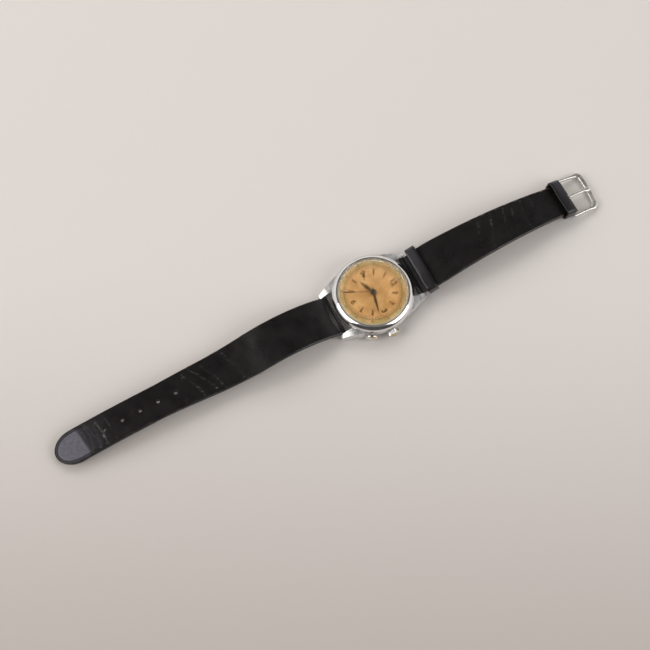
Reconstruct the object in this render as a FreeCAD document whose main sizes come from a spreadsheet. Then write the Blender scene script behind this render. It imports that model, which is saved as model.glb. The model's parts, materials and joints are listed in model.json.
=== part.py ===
import FreeCAD, Part
import math
import os
import Sketcher
from FreeCAD import Placement, Rotation, Vector

# A hand-wound wristwatch with a single-button centre-sweep chronograph, on a two-piece strap.
# Millimetres.  The origin is the centre of the case back's outer face, +Z out through the dial,
# +Y towards 12 o'clock and +X towards 3 o'clock, where the crown is.

SIZES = {
    # case, bezel and crystal
    "case_radius": 16.9, "case_bottom": 1.2, "case_top": 6.0, "bore_radius": 14.0,
    "spigot_radius": 15.9, "spigot_top": 7.0, "bezel_radius": 17.25, "bezel_top": 8.7,
    "bezel_lip": 13.95, "crystal_radius": 15.0, "crystal_seat": 7.9, "crystal_shoulder": 9.3,
    "crystal_top": 11.8, "crystal_wall": 0.9, "dome_radius": 37.7, "dome_inner_radius": 48.7,
    "dome_flat": 1.5,
    "back_radius": 13.5, "snap_radius": 13.95, "back_floor": 0.9, "gasket_inner": 14.1,
    "gasket_outer": 14.6,
    # lugs and spring bars
    "lug_gap": 9.1, "lug_tip_y": 20.3, "lug_tip_x": 10.5, "lug_root_x": 15.7, "lug_root_y": 6.2,
    "lug_bottom": 0.8, "bar_y": 18.7, "bar_z": 2.9, "bar_radius": 0.75, "bar_tip": 0.4,
    # dial and hands
    "dial_radius": 13.9, "dial_bottom": 7.4, "dial_top": 7.8, "dial_hole": 1.15,
    "aperture_x": 8.0, "aperture_radius": 0.65, "print_height": 0.08,
    "hour_z": 8.1, "minute_z": 8.5, "sweep_z": 8.9, "hand_thickness": 0.12,
    "hour_length": 7.0, "minute_length": 9.5, "sweep_length": 12.7, "sweep_tail": 1.3,
    # crown, stem and push-piece
    "stem_z": 3.5, "stem_radius": 0.6, "stem_start": 6.4, "crown_start": 17.3, "crown_length": 2.1,
    "crown_radius": 2.5, "tube_start": 13.6, "tube_end": 17.15, "tube_outer": 1.0,
    "tube_bore": 0.65, "push_angle": -30.0, "push_radius": 2.7, "push_start": 18.25,
    "push_length": 1.35, "push_end": 12.0,
    # movement
    "plate_radius": 12.8, "plate_bottom": 5.0, "plate_top": 6.4, "bridge_bottom": 2.2,
    "bridge_top": 3.0, "arbor_radius": 0.25, "pivot_radius": 0.12, "jewel_radius": 0.4,
    # strap and buckle
    "strap_width": 18.0, "bulge_width": 19.0, "tail_width": 14.3, "strap_half": 1.1,
    "split_offset": -0.3, "roll_radius": 1.4, "roll_hole": 0.85, "buckle_y": 94.2,
    "buckle_z": 2.73, "buckle_length": 13.0, "buckle_wide": 8.85, "buckle_narrow": 7.9,
    "buckle_half": 0.95, "buckle_slope": -7.6,
    "buckle_bar_radius": 0.6, "buckle_roll": 1.25, "buckle_hole": 0.7, "short_radius": 115.0,
    "hole_radius": 0.85, "hole_first": 92.0, "hole_pitch": 8.1, "keeper_wall": 0.85,
    "long_taper_from": 56.7, "long_taper_to": 98.7, "short_taper_from": 30.7,
    "short_taper_to": 88.0,
}

# Wheel centres in the movement, in plan.
CENTRE = (0.0, 0.0)
BARREL = (1.67, 6.22)
THIRD = (-3.806, -1.385)
FOURTH = (-2.570, -4.780)
ESCAPE = (0.324, -5.833)
PALLET = (2.863, -5.920)
BALANCE = (5.2, -6.0)
MOTION = (2.93, -1.07)
CROWN_WHEEL = (5.9, 0.0)
COUPLING = (-1.679, -2.178)
COLUMN = (9.0, 4.4)
CLICK = (-3.79, 9.37)
HAMMER = (9.4, 2.4)
PUSH_LEVER = (11.8, -0.8)
SET_LEVER = (10.3, 2.75)

doc = FreeCAD.newDocument("wristwatch")
sheet = doc.addObject("Spreadsheet::Sheet", "sizes")
for row, (alias, value) in enumerate(SIZES.items(), start=1):
    sheet.set("A%d" % row, alias)
    sheet.set("B%d" % row, str(value))
    sheet.setAlias("B%d" % row, alias)
doc.recompute()
parts = []


class Size:
    """A length that carries its number and the sheet expression that it comes from."""

    def __init__(self, value, text):
        self.value = float(value)
        self.text = text

    def joined(self, other, sign, value):
        return Size(value, "(%s %s %s)" % (self.text, sign, size(other).text))

    def __add__(self, other):
        return self.joined(other, "+", self.value + size(other).value)

    def __sub__(self, other):
        return self.joined(other, "-", self.value - size(other).value)

    def __mul__(self, other):
        return self.joined(other, "*", self.value * size(other).value)

    def __neg__(self):
        return Size(-self.value, "(-1 * %s)" % self.text)

    def bound(self):
        return "sizes" in self.text


def size(item):
    """A Size from a sheet alias, a plain number or another Size."""
    if isinstance(item, Size):
        return item
    if isinstance(item, str):
        return Size(sheet.get(item), "sizes." + item)
    return Size(item, repr(float(item)))


def mm(alias):
    """The number that the sheet holds for an alias."""
    return float(sheet.get(alias))


# ---------------------------------------------------------------- document helpers

def bind(target, prop, item):
    """Set a property to a size.  Sheet sizes and dotted properties go by expression."""
    item = size(item)
    if item.bound() or "." in prop:
        target.setExpression(prop, item.text)
    else:
        setattr(target, prop, item.value)


def labelled(item, name, place=None):
    """Name a finished sub-part, place it and put it on the list of parts."""
    item.Label = name
    if place is not None:
        item.Placement = place
    parts.append(item)
    return item


def origin_plane(body, role):
    return [item for item in body.Origin.OriginFeatures if item.Role == role][0]


def arc_between(first, last, radius):
    """A circle arc from first to last: counter-clockwise for a positive radius."""
    if radius < 0:
        first, last = last, first
    radius = abs(radius)
    chord = last - first
    rise = math.sqrt(max(radius ** 2 - (chord.Length / 2) ** 2, 0.0))
    left = Vector(-chord.y, chord.x, 0).normalize()
    centre = (first + last) * 0.5 + left * rise
    start = math.atan2(first.y - centre.y, first.x - centre.x)
    end = math.atan2(last.y - centre.y, last.x - centre.x)
    return Part.ArcOfCircle(Part.Circle(centre, Vector(0, 0, 1), radius), start, end)


def pin_coordinate(sketch, edge, vertex, kind, item):
    """Tie one coordinate of a sketch point to its size."""
    if item.value == 0 and not item.bound():
        axis = -2 if kind == "DistanceX" else -1
        sketch.addConstraint(Sketcher.Constraint("PointOnObject", edge, vertex, axis))
        return
    index = sketch.addConstraint(Sketcher.Constraint(kind, -1, 1, edge, vertex, item.value))
    if item.bound():
        sketch.setExpression("Constraints[%d]" % index, item.text)


def outline(body, plane, points):
    """A closed sketch.  A point is (x, y), or (x, y, radius) where an arc leaves it."""
    sketch = body.newObject("Sketcher::SketchObject", "Outline")
    sketch.AttachmentSupport = (origin_plane(body, plane), [""])
    sketch.MapMode = "FlatFace"
    points = [[size(item) for item in point] for point in points]
    ends = []
    for number, point in enumerate(points):
        other = points[(number + 1) % len(points)]
        first = Vector(point[0].value, point[1].value, 0)
        last = Vector(other[0].value, other[1].value, 0)
        if len(point) == 2:
            edge = sketch.addGeometry(Part.LineSegment(first, last))
            ends.append((edge, 1, 2))
        else:
            edge = sketch.addGeometry(arc_between(first, last, point[2].value))
            ends.append((edge, 1, 2) if point[2].value > 0 else (edge, 2, 1))
    for number, (edge, start, finish) in enumerate(ends):
        after, after_start, _ = ends[(number + 1) % len(ends)]
        sketch.addConstraint(Sketcher.Constraint("Coincident", edge, finish, after, after_start))
        pin_coordinate(sketch, edge, start, "DistanceX", points[number][0])
        pin_coordinate(sketch, edge, start, "DistanceY", points[number][1])
        if len(points[number]) == 3:
            bend = points[number][2]
            bend = bend if bend.value > 0 else -bend
            index = sketch.addConstraint(Sketcher.Constraint("Radius", edge, bend.value))
            if bend.bound():
                sketch.setExpression("Constraints[%d]" % index, bend.text)
    return sketch


def new_body(name):
    return doc.addObject("PartDesign::Body", name)


def turn(body, points):
    """Turn a profile, given as (radius, height) points, about the body's Z axis."""
    sketch = outline(body, "XZ_Plane", points)
    feature = body.newObject("PartDesign::Revolution", "Turned")
    feature.Profile = sketch
    feature.ReferenceAxis = (sketch, ["V_Axis"])
    feature.Angle = 360
    return feature


def turned(name, points, place=None):
    """A sub-part that is one turned profile."""
    body = new_body(name)
    turn(body, points)
    return labelled(body, name, place)


def pocket_through(body, plane, points):
    feature = body.newObject("PartDesign::Pocket", "Cut")
    feature.Profile = outline(body, plane, points)
    feature.SideType = "Symmetric"
    feature.Type = "ThroughAll"
    return feature


def ring_points(inner, outer, low, high):
    return [(inner, low), (outer, low), (outer, high), (inner, high)]


def tool_cylinder(radius, low, high, place=None):
    """A cylinder for a boolean.  Its axis is Z, or the placement's Z."""
    item = doc.addObject("Part::Cylinder", "Round")
    low, high = size(low), size(high)
    bind(item, "Radius", radius)
    bind(item, "Height", high - low)
    item.Placement = place or Placement()
    if place is None:
        bind(item, "Placement.Base.z", low)
    return item


def cut(name, base, tools):
    """Cut tools from base, as one named sub-part."""
    joined = tools[0]
    if len(tools) > 1:
        joined = doc.addObject("Part::MultiFuse", "Tools")
        joined.Shapes = tools
    result = doc.addObject("Part::Cut", name)
    result.Base = base
    result.Tool = joined
    return result


def coded(name, shape, place=None):
    """A sub-part whose shape comes from Part's own functions."""
    item = doc.addObject("Part::Feature", name)
    item.Shape = shape
    place = place or Placement()
    return labelled(item, name, place.multiply(shape.Placement))


# ---------------------------------------------------------------- shape helpers

def rod(radius, low, high, centre=(0, 0)):
    return Part.makeCylinder(radius, high - low, Vector(centre[0], centre[1], low))


def pipe(inner, outer, low, high, centre=(0, 0)):
    return rod(outer, low, high, centre).cut(rod(inner, low - 1, high + 1, centre))


def prism(points, low, high):
    """A plan polygon raised from low to high."""
    corners = [Vector(x, y, low) for x, y in points]
    face = Part.Face(Part.makePolygon(corners + corners[:1]))
    return face.extrude(Vector(0, 0, high - low))


def bar(first, last, width, low, high):
    """A flat link with round ends between two plan points."""
    a = Vector(first[0], first[1], low)
    b = Vector(last[0], last[1], low)
    side = (b - a).cross(Vector(0, 0, 1)).normalize() * (width / 2)
    tip = (b - a).normalize() * (width / 2)
    edges = [
        Part.LineSegment(a + side, b + side).toShape(),
        Part.Arc(b + side, b + tip, b - side).toShape(),
        Part.LineSegment(b - side, a - side).toShape(),
        Part.Arc(a - side, a - tip, a + side).toShape(),
    ]
    return Part.Face(Part.Wire(edges)).extrude(Vector(0, 0, high - low))


def polar(radius, angle, centre=(0, 0)):
    return (centre[0] + radius * math.cos(angle), centre[1] + radius * math.sin(angle))


def gear(teeth, module, low, high, centre, phase=0.0):
    """A spur gear with straight-flanked teeth.  One tooth is centred on the phase angle."""
    pitch = teeth * module / 2
    tip, root = pitch + 0.85 * module, pitch - 1.1 * module
    tip_half, root_half = 0.42 * module / tip, 1.05 * module / root
    points = []
    for tooth in range(teeth):
        angle = phase + 2 * math.pi * tooth / teeth
        points.append(polar(root, angle - root_half, centre))
        points.append(polar(tip, angle - tip_half, centre))
        points.append(polar(tip, angle + tip_half, centre))
        points.append(polar(root, angle + root_half, centre))
    return prism(points, low, high)


def mesh_phase(phase, teeth, centre, other_teeth, other):
    """The phase that puts a second gear's gap on the first gear's tooth."""
    line = math.atan2(other[1] - centre[1], other[0] - centre[0])
    return line + math.pi + (line - phase) * teeth / other_teeth + math.pi / other_teeth


def spoked(wheel, centre, hub, rim, arms, low, high):
    """Open a wheel between its hub and rim, leaving arms."""
    opening = pipe(hub, rim, low - 0.1, high + 0.1, centre)
    width = 0.18 * rim
    for arm in range(arms):
        angle = 2 * math.pi * arm / arms + 0.4
        opening = opening.cut(bar(centre, polar(rim + 0.5, angle, centre), width, low - 0.2,
                                  high + 0.2))
    return wheel.cut(opening)


def arbor(centre, low, high, low_pivot, high_pivot):
    """A wheel's arbor with a thin pivot at each end."""
    body = rod(mm("arbor_radius"), low, high, centre)
    return body.fuse(rod(mm("pivot_radius"), low_pivot, high_pivot, centre))


def outward(shape):
    """The same solid with its faces turned outwards."""
    if shape.Volume < 0:
        shape.reverse()
    return shape


def spiral(inner, pitch, turns, thickness, low, high, centre):
    """A flat spiral ribbon made of half-circle arcs."""
    side_a, side_b = [], []
    for side, offset in ((side_a, 0.0), (side_b, thickness)):
        radius = inner + offset
        x = radius
        for half in range(2 * turns):
            sign = 1 if half % 2 == 0 else -1
            middle = x - sign * radius
            points = [Vector(x, 0, 0), Vector(middle, sign * radius, 0),
                      Vector(x - sign * 2 * radius, 0, 0)]
            side.append(Part.Arc(*points).toShape())
            x = points[2].x
            radius += pitch / 2
        side.append(x)
    ends = [Vector(inner, 0, 0), Vector(inner + thickness, 0, 0),
            Vector(side_a.pop(), 0, 0), Vector(side_b.pop(), 0, 0)]
    edges = side_a + side_b
    edges.append(Part.LineSegment(ends[0], ends[1]).toShape())
    edges.append(Part.LineSegment(ends[2], ends[3]).toShape())
    face = Part.Face(Part.Wire(Part.__sortEdges__(edges)))
    ribbon = outward(face.extrude(Vector(0, 0, high - low)))
    ribbon.translate(Vector(centre[0], centre[1], low))
    return ribbon


def along_x(shape, height):
    """Lay a shape that was turned about Z along +X at a height."""
    shape.Placement = Placement(Vector(0, 0, height), Rotation(Vector(0, 1, 0), 90))
    return shape


def radial(angle, height):
    """The placement that lays a part's Z axis outwards from the case centre."""
    turned_out = Rotation(Vector(0, 0, 1), angle).multiply(Rotation(Vector(0, 1, 0), 90))
    return Placement(Vector(0, 0, height), turned_out)


# ---------------------------------------------------------------- case

def make_lugs():
    """The four lugs, sloping down from the case top to their tips."""
    low, top = mm("case_bottom"), mm("case_top")
    gap, tip_x, tip_y = mm("lug_gap"), mm("lug_tip_x"), mm("lug_tip_y")
    root_x, root_y = mm("lug_root_x"), mm("lug_root_y")
    plan = [(gap, -tip_y), (tip_x, -tip_y), (root_x, -root_y), (root_x, root_y),
            (tip_x, tip_y), (gap, tip_y)]
    side = []
    for x_sign in (1, -1):
        side.append(prism([(x * x_sign, y) for x, y in plan], 0, top))
    corner = Vector(0, tip_y - 0.35, 3.6)
    a = Vector(0, 8, mm("lug_bottom") + 0.6)
    b = Vector(0, 17, mm("lug_bottom"))
    c = Vector(0, tip_y - 1.0, mm("lug_bottom"))
    tip = Vector(0, tip_y, 2.0)
    rise = Vector(0, 16.0, 5.5)
    shoulder = Vector(0, 9.0, top)
    edges = [
        Part.LineSegment(a, b).toShape(),
        Part.LineSegment(b, c).toShape(),
        Part.LineSegment(c, tip).toShape(),
        Part.LineSegment(tip, corner).toShape(),
        Part.Arc(corner, rise, shoulder).toShape(),
        Part.LineSegment(shoulder, a).toShape(),
    ]
    profile = Part.Face(Part.Wire(edges)).extrude(Vector(40, 0, 0))
    profile.translate(Vector(-20, 0, 0))
    lugs = []
    for rail in side:
        for angle in (0, 180):
            turned_profile = profile.copy()
            turned_profile.rotate(Vector(), Vector(0, 0, 1), angle)
            lugs.append(rail.common(turned_profile))
    return lugs


def make_case():
    radius = mm("case_radius")
    low, top = mm("case_bottom"), mm("case_top")
    ring_profile = [(mm("bore_radius"), low), (radius - 1.1, low), (radius, low + 1.6),
                    (radius, top - 0.5), (radius - 0.12, top), (mm("spigot_radius"), top),
                    (mm("spigot_radius"), mm("spigot_top")), (mm("bore_radius"), mm("spigot_top"))]
    corners = [Vector(x, 0, z) for x, z in ring_profile]
    ring = Part.Face(Part.makePolygon(corners + corners[:1]))
    ring = ring.revolve(Vector(), Vector(0, 0, 1), 360)
    shape = ring.multiFuse(make_lugs())
    shape = shape.cut(rod(mm("bore_radius"), 0, 9))
    shape = shape.cut(rod(mm("back_radius") + 2.0, 0, low))
    for sign in (1, -1):
        pin_hole = along_x(Part.makeCylinder(mm("bar_tip") + 0.03, 2 * 10.0, Vector(0, 0, -10)),
                           mm("bar_z"))
        pin_hole.translate(Vector(0, sign * mm("bar_y"), 0))
        shape = shape.cut(pin_hole)
    for angle in (0, mm("push_angle")):
        hole = Part.makeCylinder(mm("tube_outer"), 10, Vector(0, 0, 12))
        hole.Placement = radial(angle, mm("stem_z"))
        shape = shape.cut(hole)
    spot_face = Part.makeCylinder(mm("push_radius") + 0.15, 5, Vector(0, 0, mm("tube_end")))
    spot_face.Placement = radial(mm("push_angle"), mm("stem_z"))
    shape = shape.cut(spot_face)
    recess = rod(mm("spigot_radius") + 2, mm("spigot_top") + 0.001, 12)
    return coded("case_middle", shape.cut(recess).removeSplitter())


def make_case_parts():
    floor, rim = size("back_floor"), size("gasket_outer")
    back, snap, low = size("back_radius"), size("snap_radius"), size("case_bottom")
    seat = low - 0.35
    turned("case_back", [
        (0, 0), (back, 0), (back + 1.9, low * 0.5), (back + 1.9, low), (rim, low), (rim, seat),
        ("gasket_inner", seat), ("gasket_inner", low), (snap, low), (snap, low * 2),
        (snap - 0.55, low * 2), (snap - 0.55, floor), (0, floor)])
    turned("case_back_gasket", ring_points("gasket_inner", "gasket_outer", seat, low))
    outer, top, lip_low = size("bezel_radius"), size("bezel_top"), size("spigot_top")
    case_top, seat_z = size("case_top"), size("crystal_seat")
    glass = size("crystal_radius")
    spigot = size("spigot_radius") + 0.02
    turned("bezel", [
        (spigot, case_top), (outer, case_top), (outer, case_top + 0.5, 3.6),
        (glass + 0.25, top), (glass + 0.05, top), (glass + 0.05, seat_z), ("bezel_lip", seat_z),
        ("bezel_lip", lip_low), (spigot, lip_low)])
    wall, dome, shoulder = size("crystal_wall"), size("dome_radius"), size("crystal_shoulder")
    inner_top, flat = size("crystal_top") - wall, size("dome_flat")
    turned("crystal", [
        (glass, seat_z), (glass, shoulder, dome), (flat, "crystal_top"), (0, "crystal_top"),
        (0, inner_top), (flat, inner_top, -size("dome_inner_radius")),
        (glass - 0.75, shoulder - 0.1), (glass - 0.75, seat_z)])
    turned("casing_ring", ring_points(size("plate_radius") + 0.05, 13.95, 4.9, "dial_bottom"))


# ---------------------------------------------------------------- dial, print and hands

def make_dial():
    low, high = mm("dial_bottom"), mm("dial_top")
    base = tool_cylinder("dial_radius", "dial_bottom", "dial_top")
    tools = [tool_cylinder("dial_hole", low - 1, high + 1)]
    aperture = tool_cylinder("aperture_radius", low - 1, high + 1)
    aperture.setExpression("Placement.Base.x", "-1 * sizes.aperture_x")
    tools.append(aperture)
    plain = cut("DialBlank", base, tools)
    feet = []
    for angle in (75, 255):
        foot = tool_cylinder(0.35, low - 1.0, low)
        x, y = polar(12.4, math.radians(angle))
        foot.Placement = Placement(Vector(x, y, low - 1.0), Rotation())
        feet.append(foot)
    dial = doc.addObject("Part::MultiFuse", "dial")
    dial.Shapes = [plain] + feet
    labelled(dial, "dial")


def make_hour_markers():
    """Raised darts at the plain hours and short bars beside the numbered ones."""
    top = mm("dial_top")
    solids = []
    for hour in range(12):
        angle = math.pi / 2 - hour * math.pi / 6
        inner, outer, near, far = (7.7, 10.3, 0.17, 0.47)
        if hour % 3 == 0:
            inner, outer, near, far = (8.9, 10.3, 0.5, 0.7)
        marker = prism([(inner, -near), (outer, -far), (outer, far), (inner, near)], top,
                       top + mm("print_height"))
        marker.rotate(Vector(), Vector(0, 0, 1), math.degrees(angle))
        solids.append(marker)
    coded("hour_markers", Part.makeCompound(solids))


def leaf(length, widest, at, tail, height):
    """A tapered hand blade along +Y."""
    points = [(-0.35, -tail), (0.35, -tail), (0.4, 0), (widest, at), (0.08, length),
              (-0.08, length), (-widest, at), (-0.4, 0)]
    return prism(points, height, height + mm("hand_thickness"))


def make_hands():
    """Each blade points at 12 o'clock, then is turned clockwise to its reading."""
    thick = mm("hand_thickness")
    hands = (
        ("hour_hand", "hour_z", leaf(mm("hour_length"), 0.75, 3.2, 1.2, mm("hour_z")), 1.3,
         0.66, 247.5),
        ("minute_hand", "minute_z", leaf(mm("minute_length"), 0.55, 3.6, 1.3, mm("minute_z")),
         1.05, 0.31, 104.0),
        ("sweep_seconds_hand", "sweep_z",
         leaf(mm("sweep_length"), 0.2, 9.0, mm("sweep_tail"), mm("sweep_z")), 0.8, 0.26, 205.5),
    )
    for name, level, blade, hub, bore, reading in hands:
        low = mm(level)
        shape = blade.fuse(rod(hub, low, low + thick))
        shape = shape.cut(rod(bore, low - 1, low + 1))
        if name == "sweep_seconds_hand":
            shape = shape.fuse(rod(0.5, low + thick, low + thick + 0.15))
        shape.rotate(Vector(), Vector(0, 0, 1), -reading)
        coded(name, shape.removeSplitter())


# ---------------------------------------------------------------- crown and push-piece

def make_crown_group():
    start, length, radius = size("crown_start"), size("crown_length"), size("crown_radius")
    out = radial(0, mm("stem_z"))
    crown = new_body("crown")
    turn(crown, [(0, start), (radius - 0.35, start), (radius, start + 0.25),
                 (radius, start + length - 0.35), (radius - 0.45, start + length, 5.6),
                 (0.5, start + length + 0.22), (0, start + length + 0.22)])
    flute = pocket_flute(crown)
    pattern = crown.newObject("PartDesign::PolarPattern", "Flutes")
    pattern.Originals = [flute]
    pattern.Axis = (origin_plane(crown, "Z_Axis"), [""])
    pattern.Angle = 360
    pattern.Occurrences = 26
    crown.Tip = pattern
    labelled(crown, "crown", out)
    stem, begin = size("stem_radius"), size("stem_start")
    turned("winding_stem", [
        (0, begin), (stem - 0.15, begin), (stem, begin + 0.15), (stem, 9.55), (0.35, 9.55),
        (0.35, 10.1), (stem, 10.1), (stem, start), (0, start)], out)
    tube = ring_points("tube_bore", "tube_outer", "tube_start", "tube_end")
    turned("crown_tube", tube, out)
    press = radial(mm("push_angle"), mm("stem_z"))
    head, begin, end = size("push_radius"), size("push_start"), size("push_end")
    cap = size("push_length")
    turned("push_piece", [
        (0, end), (0.45, end), (0.45, end + 1.2), (stem, end + 1.2), (stem, begin + 0.3),
        (1.15, begin + 0.3), (1.15, begin - 0.15), (1.75, begin - 0.15), (1.75, begin),
        (head - 0.3, begin), (head, begin + 0.3), (head, begin + cap - 0.75, 3.2),
        (head - 1.5, begin + cap - 0.05), (0.5, begin + cap), (0, begin + cap)], press)
    turned("pusher_tube", tube, press)
    coil_radius, wire = 0.87, 0.1
    coil = Part.makeHelix(0.36, 1.08, coil_radius)
    corners = [Vector(coil_radius + x, 0, z)
               for x, z in (polar(wire, math.radians(45 + 90 * side)) for side in range(4))]
    section = Part.makePolygon(corners + corners[:1])
    spring = outward(Part.Wire(coil).makePipeShell([section], True, True))
    spring.translate(Vector(0, 0, mm("tube_end") + 0.12))
    coded("pusher_spring", spring, press)


def pocket_flute(crown):
    """One flute: a small notch down the crown's side."""
    radius = size("crown_radius")
    return pocket_through(crown, "XY_Plane", [
        (radius - 0.16, 0), (radius + 0.2, -0.2), (radius + 0.2, 0.2)])


# ---------------------------------------------------------------- movement plates

PLATE_JEWELS = (THIRD, FOURTH, ESCAPE, BALANCE, PALLET)
TRAIN_JEWELS = (THIRD, FOURTH, ESCAPE)


def make_main_plate():
    low, high, radius = mm("plate_bottom"), mm("plate_top"), mm("plate_radius")
    plate = rod(radius, low, high).fuse(pipe(radius - 0.8, radius, high, mm("dial_bottom")))
    block = Part.makeBox(1.1, 3.0, 2.6, Vector(11.4, -1.5, 2.4))
    plate = plate.fuse(block)
    posts = [(SET_LEVER, 0.3, 3.1), (PUSH_LEVER, 0.35, 1.05)]
    for centre, post, bottom in posts:
        top = low if centre is SET_LEVER else 2.4
        plate = plate.fuse(rod(post, bottom, top, centre))
    for centre in BRIDGE_PILLARS:
        plate = plate.fuse(rod(0.9, mm("bridge_top"), low, centre))
    plate = plate.fuse(rod(0.22, high, 7.2, MOTION))
    plate = plate.cut(Part.makeBox(3.3, 3.5, 0.25, Vector(5.8, -1.75, low)))
    stem_hole = Part.makeCylinder(mm("stem_radius") + 0.04, 3, Vector(0, 0, 11))
    plate = plate.cut(along_x(stem_hole, mm("stem_z")))
    plate = plate.cut(rod(0.65, low - 1, high + 1))
    plate = plate.cut(rod(0.55, low - 0.1, low + 0.6, BARREL))
    for centre in PLATE_JEWELS:
        plate = plate.cut(rod(mm("jewel_radius"), low - 0.1, low + 0.4, centre))
    for angle in (75, 255):
        plate = plate.cut(rod(0.38, high - 0.8, high + 2, polar(12.4, math.radians(angle))))
    coded("main_plate", plate.removeSplitter())


BRIDGE_PILLARS = ((-7.8, 8.4), (9.6, 6.9), (-11.2, 3.4), (-11.0, -2.6), (-7.9, -8.6),
                  (0.6, -10.9))


def bridge(name, plan, holes):
    low, high = mm("bridge_bottom"), mm("bridge_top")
    shape = plan.common(rod(12.4, low, high))
    for centre, radius in holes:
        shape = shape.cut(rod(radius, low - 1, high + 1, centre))
    coded(name, shape.removeSplitter())


def make_bridges():
    low, high, thick = mm("bridge_bottom"), mm("bridge_top"), 0.8
    upper = Part.makeBox(30, 20, thick, Vector(-15, 1.5, low))
    upper = upper.fuse(Part.makeBox(15, 6, thick, Vector(1.6, -1.6, low)))
    upper = upper.cut(Part.makeBox(8, 3.5, thick, Vector(6.9, -1.75, low)))
    upper = upper.cut(Part.makeBox(1.3, 2.4, 0.6, Vector(5.7, -1.2, 2.42)))
    screws = [(centre, 0.35) for centre in BRIDGE_PILLARS[:3]]
    bridge("barrel_bridge", upper, screws + [(BARREL, 0.55)])
    lower = Part.makeBox(20, 20, thick, Vector(-18.5, -18.6, low))
    lower = lower.cut(rod(4.5, low, high, BALANCE)).cut(rod(1.5, low, high, BRIDGE_PILLARS[5]))
    holes = [(centre, 0.35) for centre in BRIDGE_PILLARS[3:5]]
    holes += [(centre, mm("jewel_radius")) for centre in TRAIN_JEWELS]
    bridge("train_bridge", lower, holes + [(CENTRE, 0.46)])
    foot = BRIDGE_PILLARS[5]
    cock = bar(BALANCE, foot, 1.8, 1.55, 1.9)
    cock = cock.fuse(rod(1.2, 1.9, high, foot)).cut(rod(0.35, 1, high + 1, foot))
    cock = cock.cut(rod(mm("jewel_radius"), 1, 3, BALANCE))
    coded("balance_cock", cock.removeSplitter())
    outside = (PALLET[0] - 0.4, PALLET[1] - 5.4)
    pallet = bar(PALLET, outside, 0.9, 3.08, 3.38)
    pallet = pallet.fuse(rod(0.45, 3.38, mm("plate_bottom"), outside))
    pallet = pallet.cut(rod(0.3, 3, 3.5, PALLET))
    coded("pallet_cock", pallet.removeSplitter())


def make_fixings():
    """Jewels and screws: groups of separate solids."""
    pivot, radius = mm("pivot_radius") + 0.02, mm("jewel_radius")
    jewels = [pipe(pivot, radius, 5.0, 5.4, centre) for centre in PLATE_JEWELS]
    jewels += [pipe(pivot, radius, 2.6, 3.0, centre) for centre in (THIRD, ESCAPE)]
    jewels += [pipe(mm("arbor_radius") + 0.03, radius, 2.6, 3.0, FOURTH)]
    jewels += [pipe(pivot, radius, 1.55, 1.9, BALANCE), pipe(pivot, 0.3, 3.08, 3.38, PALLET)]
    coded("jewels", Part.makeCompound(jewels))
    screws = []
    for number, centre in enumerate(BRIDGE_PILLARS):
        seat = 1.55 if number == 5 else mm("bridge_bottom")
        screw = rod(0.6, seat - 0.3, seat, centre).fuse(rod(0.33, seat, 3.0, centre))
        slot = Part.makeBox(1.4, 0.16, 0.14, Vector(centre[0] - 0.7, centre[1] - 0.08,
                                                    seat - 0.3))
        screws.append(screw.cut(slot))
    boss = rod(0.8, 1.62, mm("bridge_bottom"), CROWN_WHEEL).fuse(rod(1.2, 1.35, 1.6, CROWN_WHEEL))
    screws.append(boss.fuse(rod(0.8, 1.5, 1.7, CROWN_WHEEL)))
    coded("bridge_screws", Part.makeCompound(screws))


# ---------------------------------------------------------------- going train

def make_barrel():
    shape = gear(80, 0.14, 4.4, 4.8, BARREL, mesh_phase(0, 12, CENTRE, 80, BARREL))
    shape = shape.fuse(rod(5.2, 3.65, 4.85, BARREL)).cut(rod(4.9, 3.85, 4.6, BARREL))
    shape = shape.cut(rod(0.55, 3, 5, BARREL))
    coded("barrel", shape.removeSplitter())
    post = rod(0.5, 1.65, 5.5, BARREL).fuse(rod(0.85, 3.9, 4.5, BARREL))
    square = Part.makeBox(0.66, 0.66, 0.5, Vector(BARREL[0] - 0.33, BARREL[1] - 0.33, 1.4))
    coded("barrel_arbor", post.fuse(square).removeSplitter())
    ribbon = spiral(1.0, 0.42, 8, 0.13, 3.95, 4.5, BARREL)
    coded("mainspring", ribbon)


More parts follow.
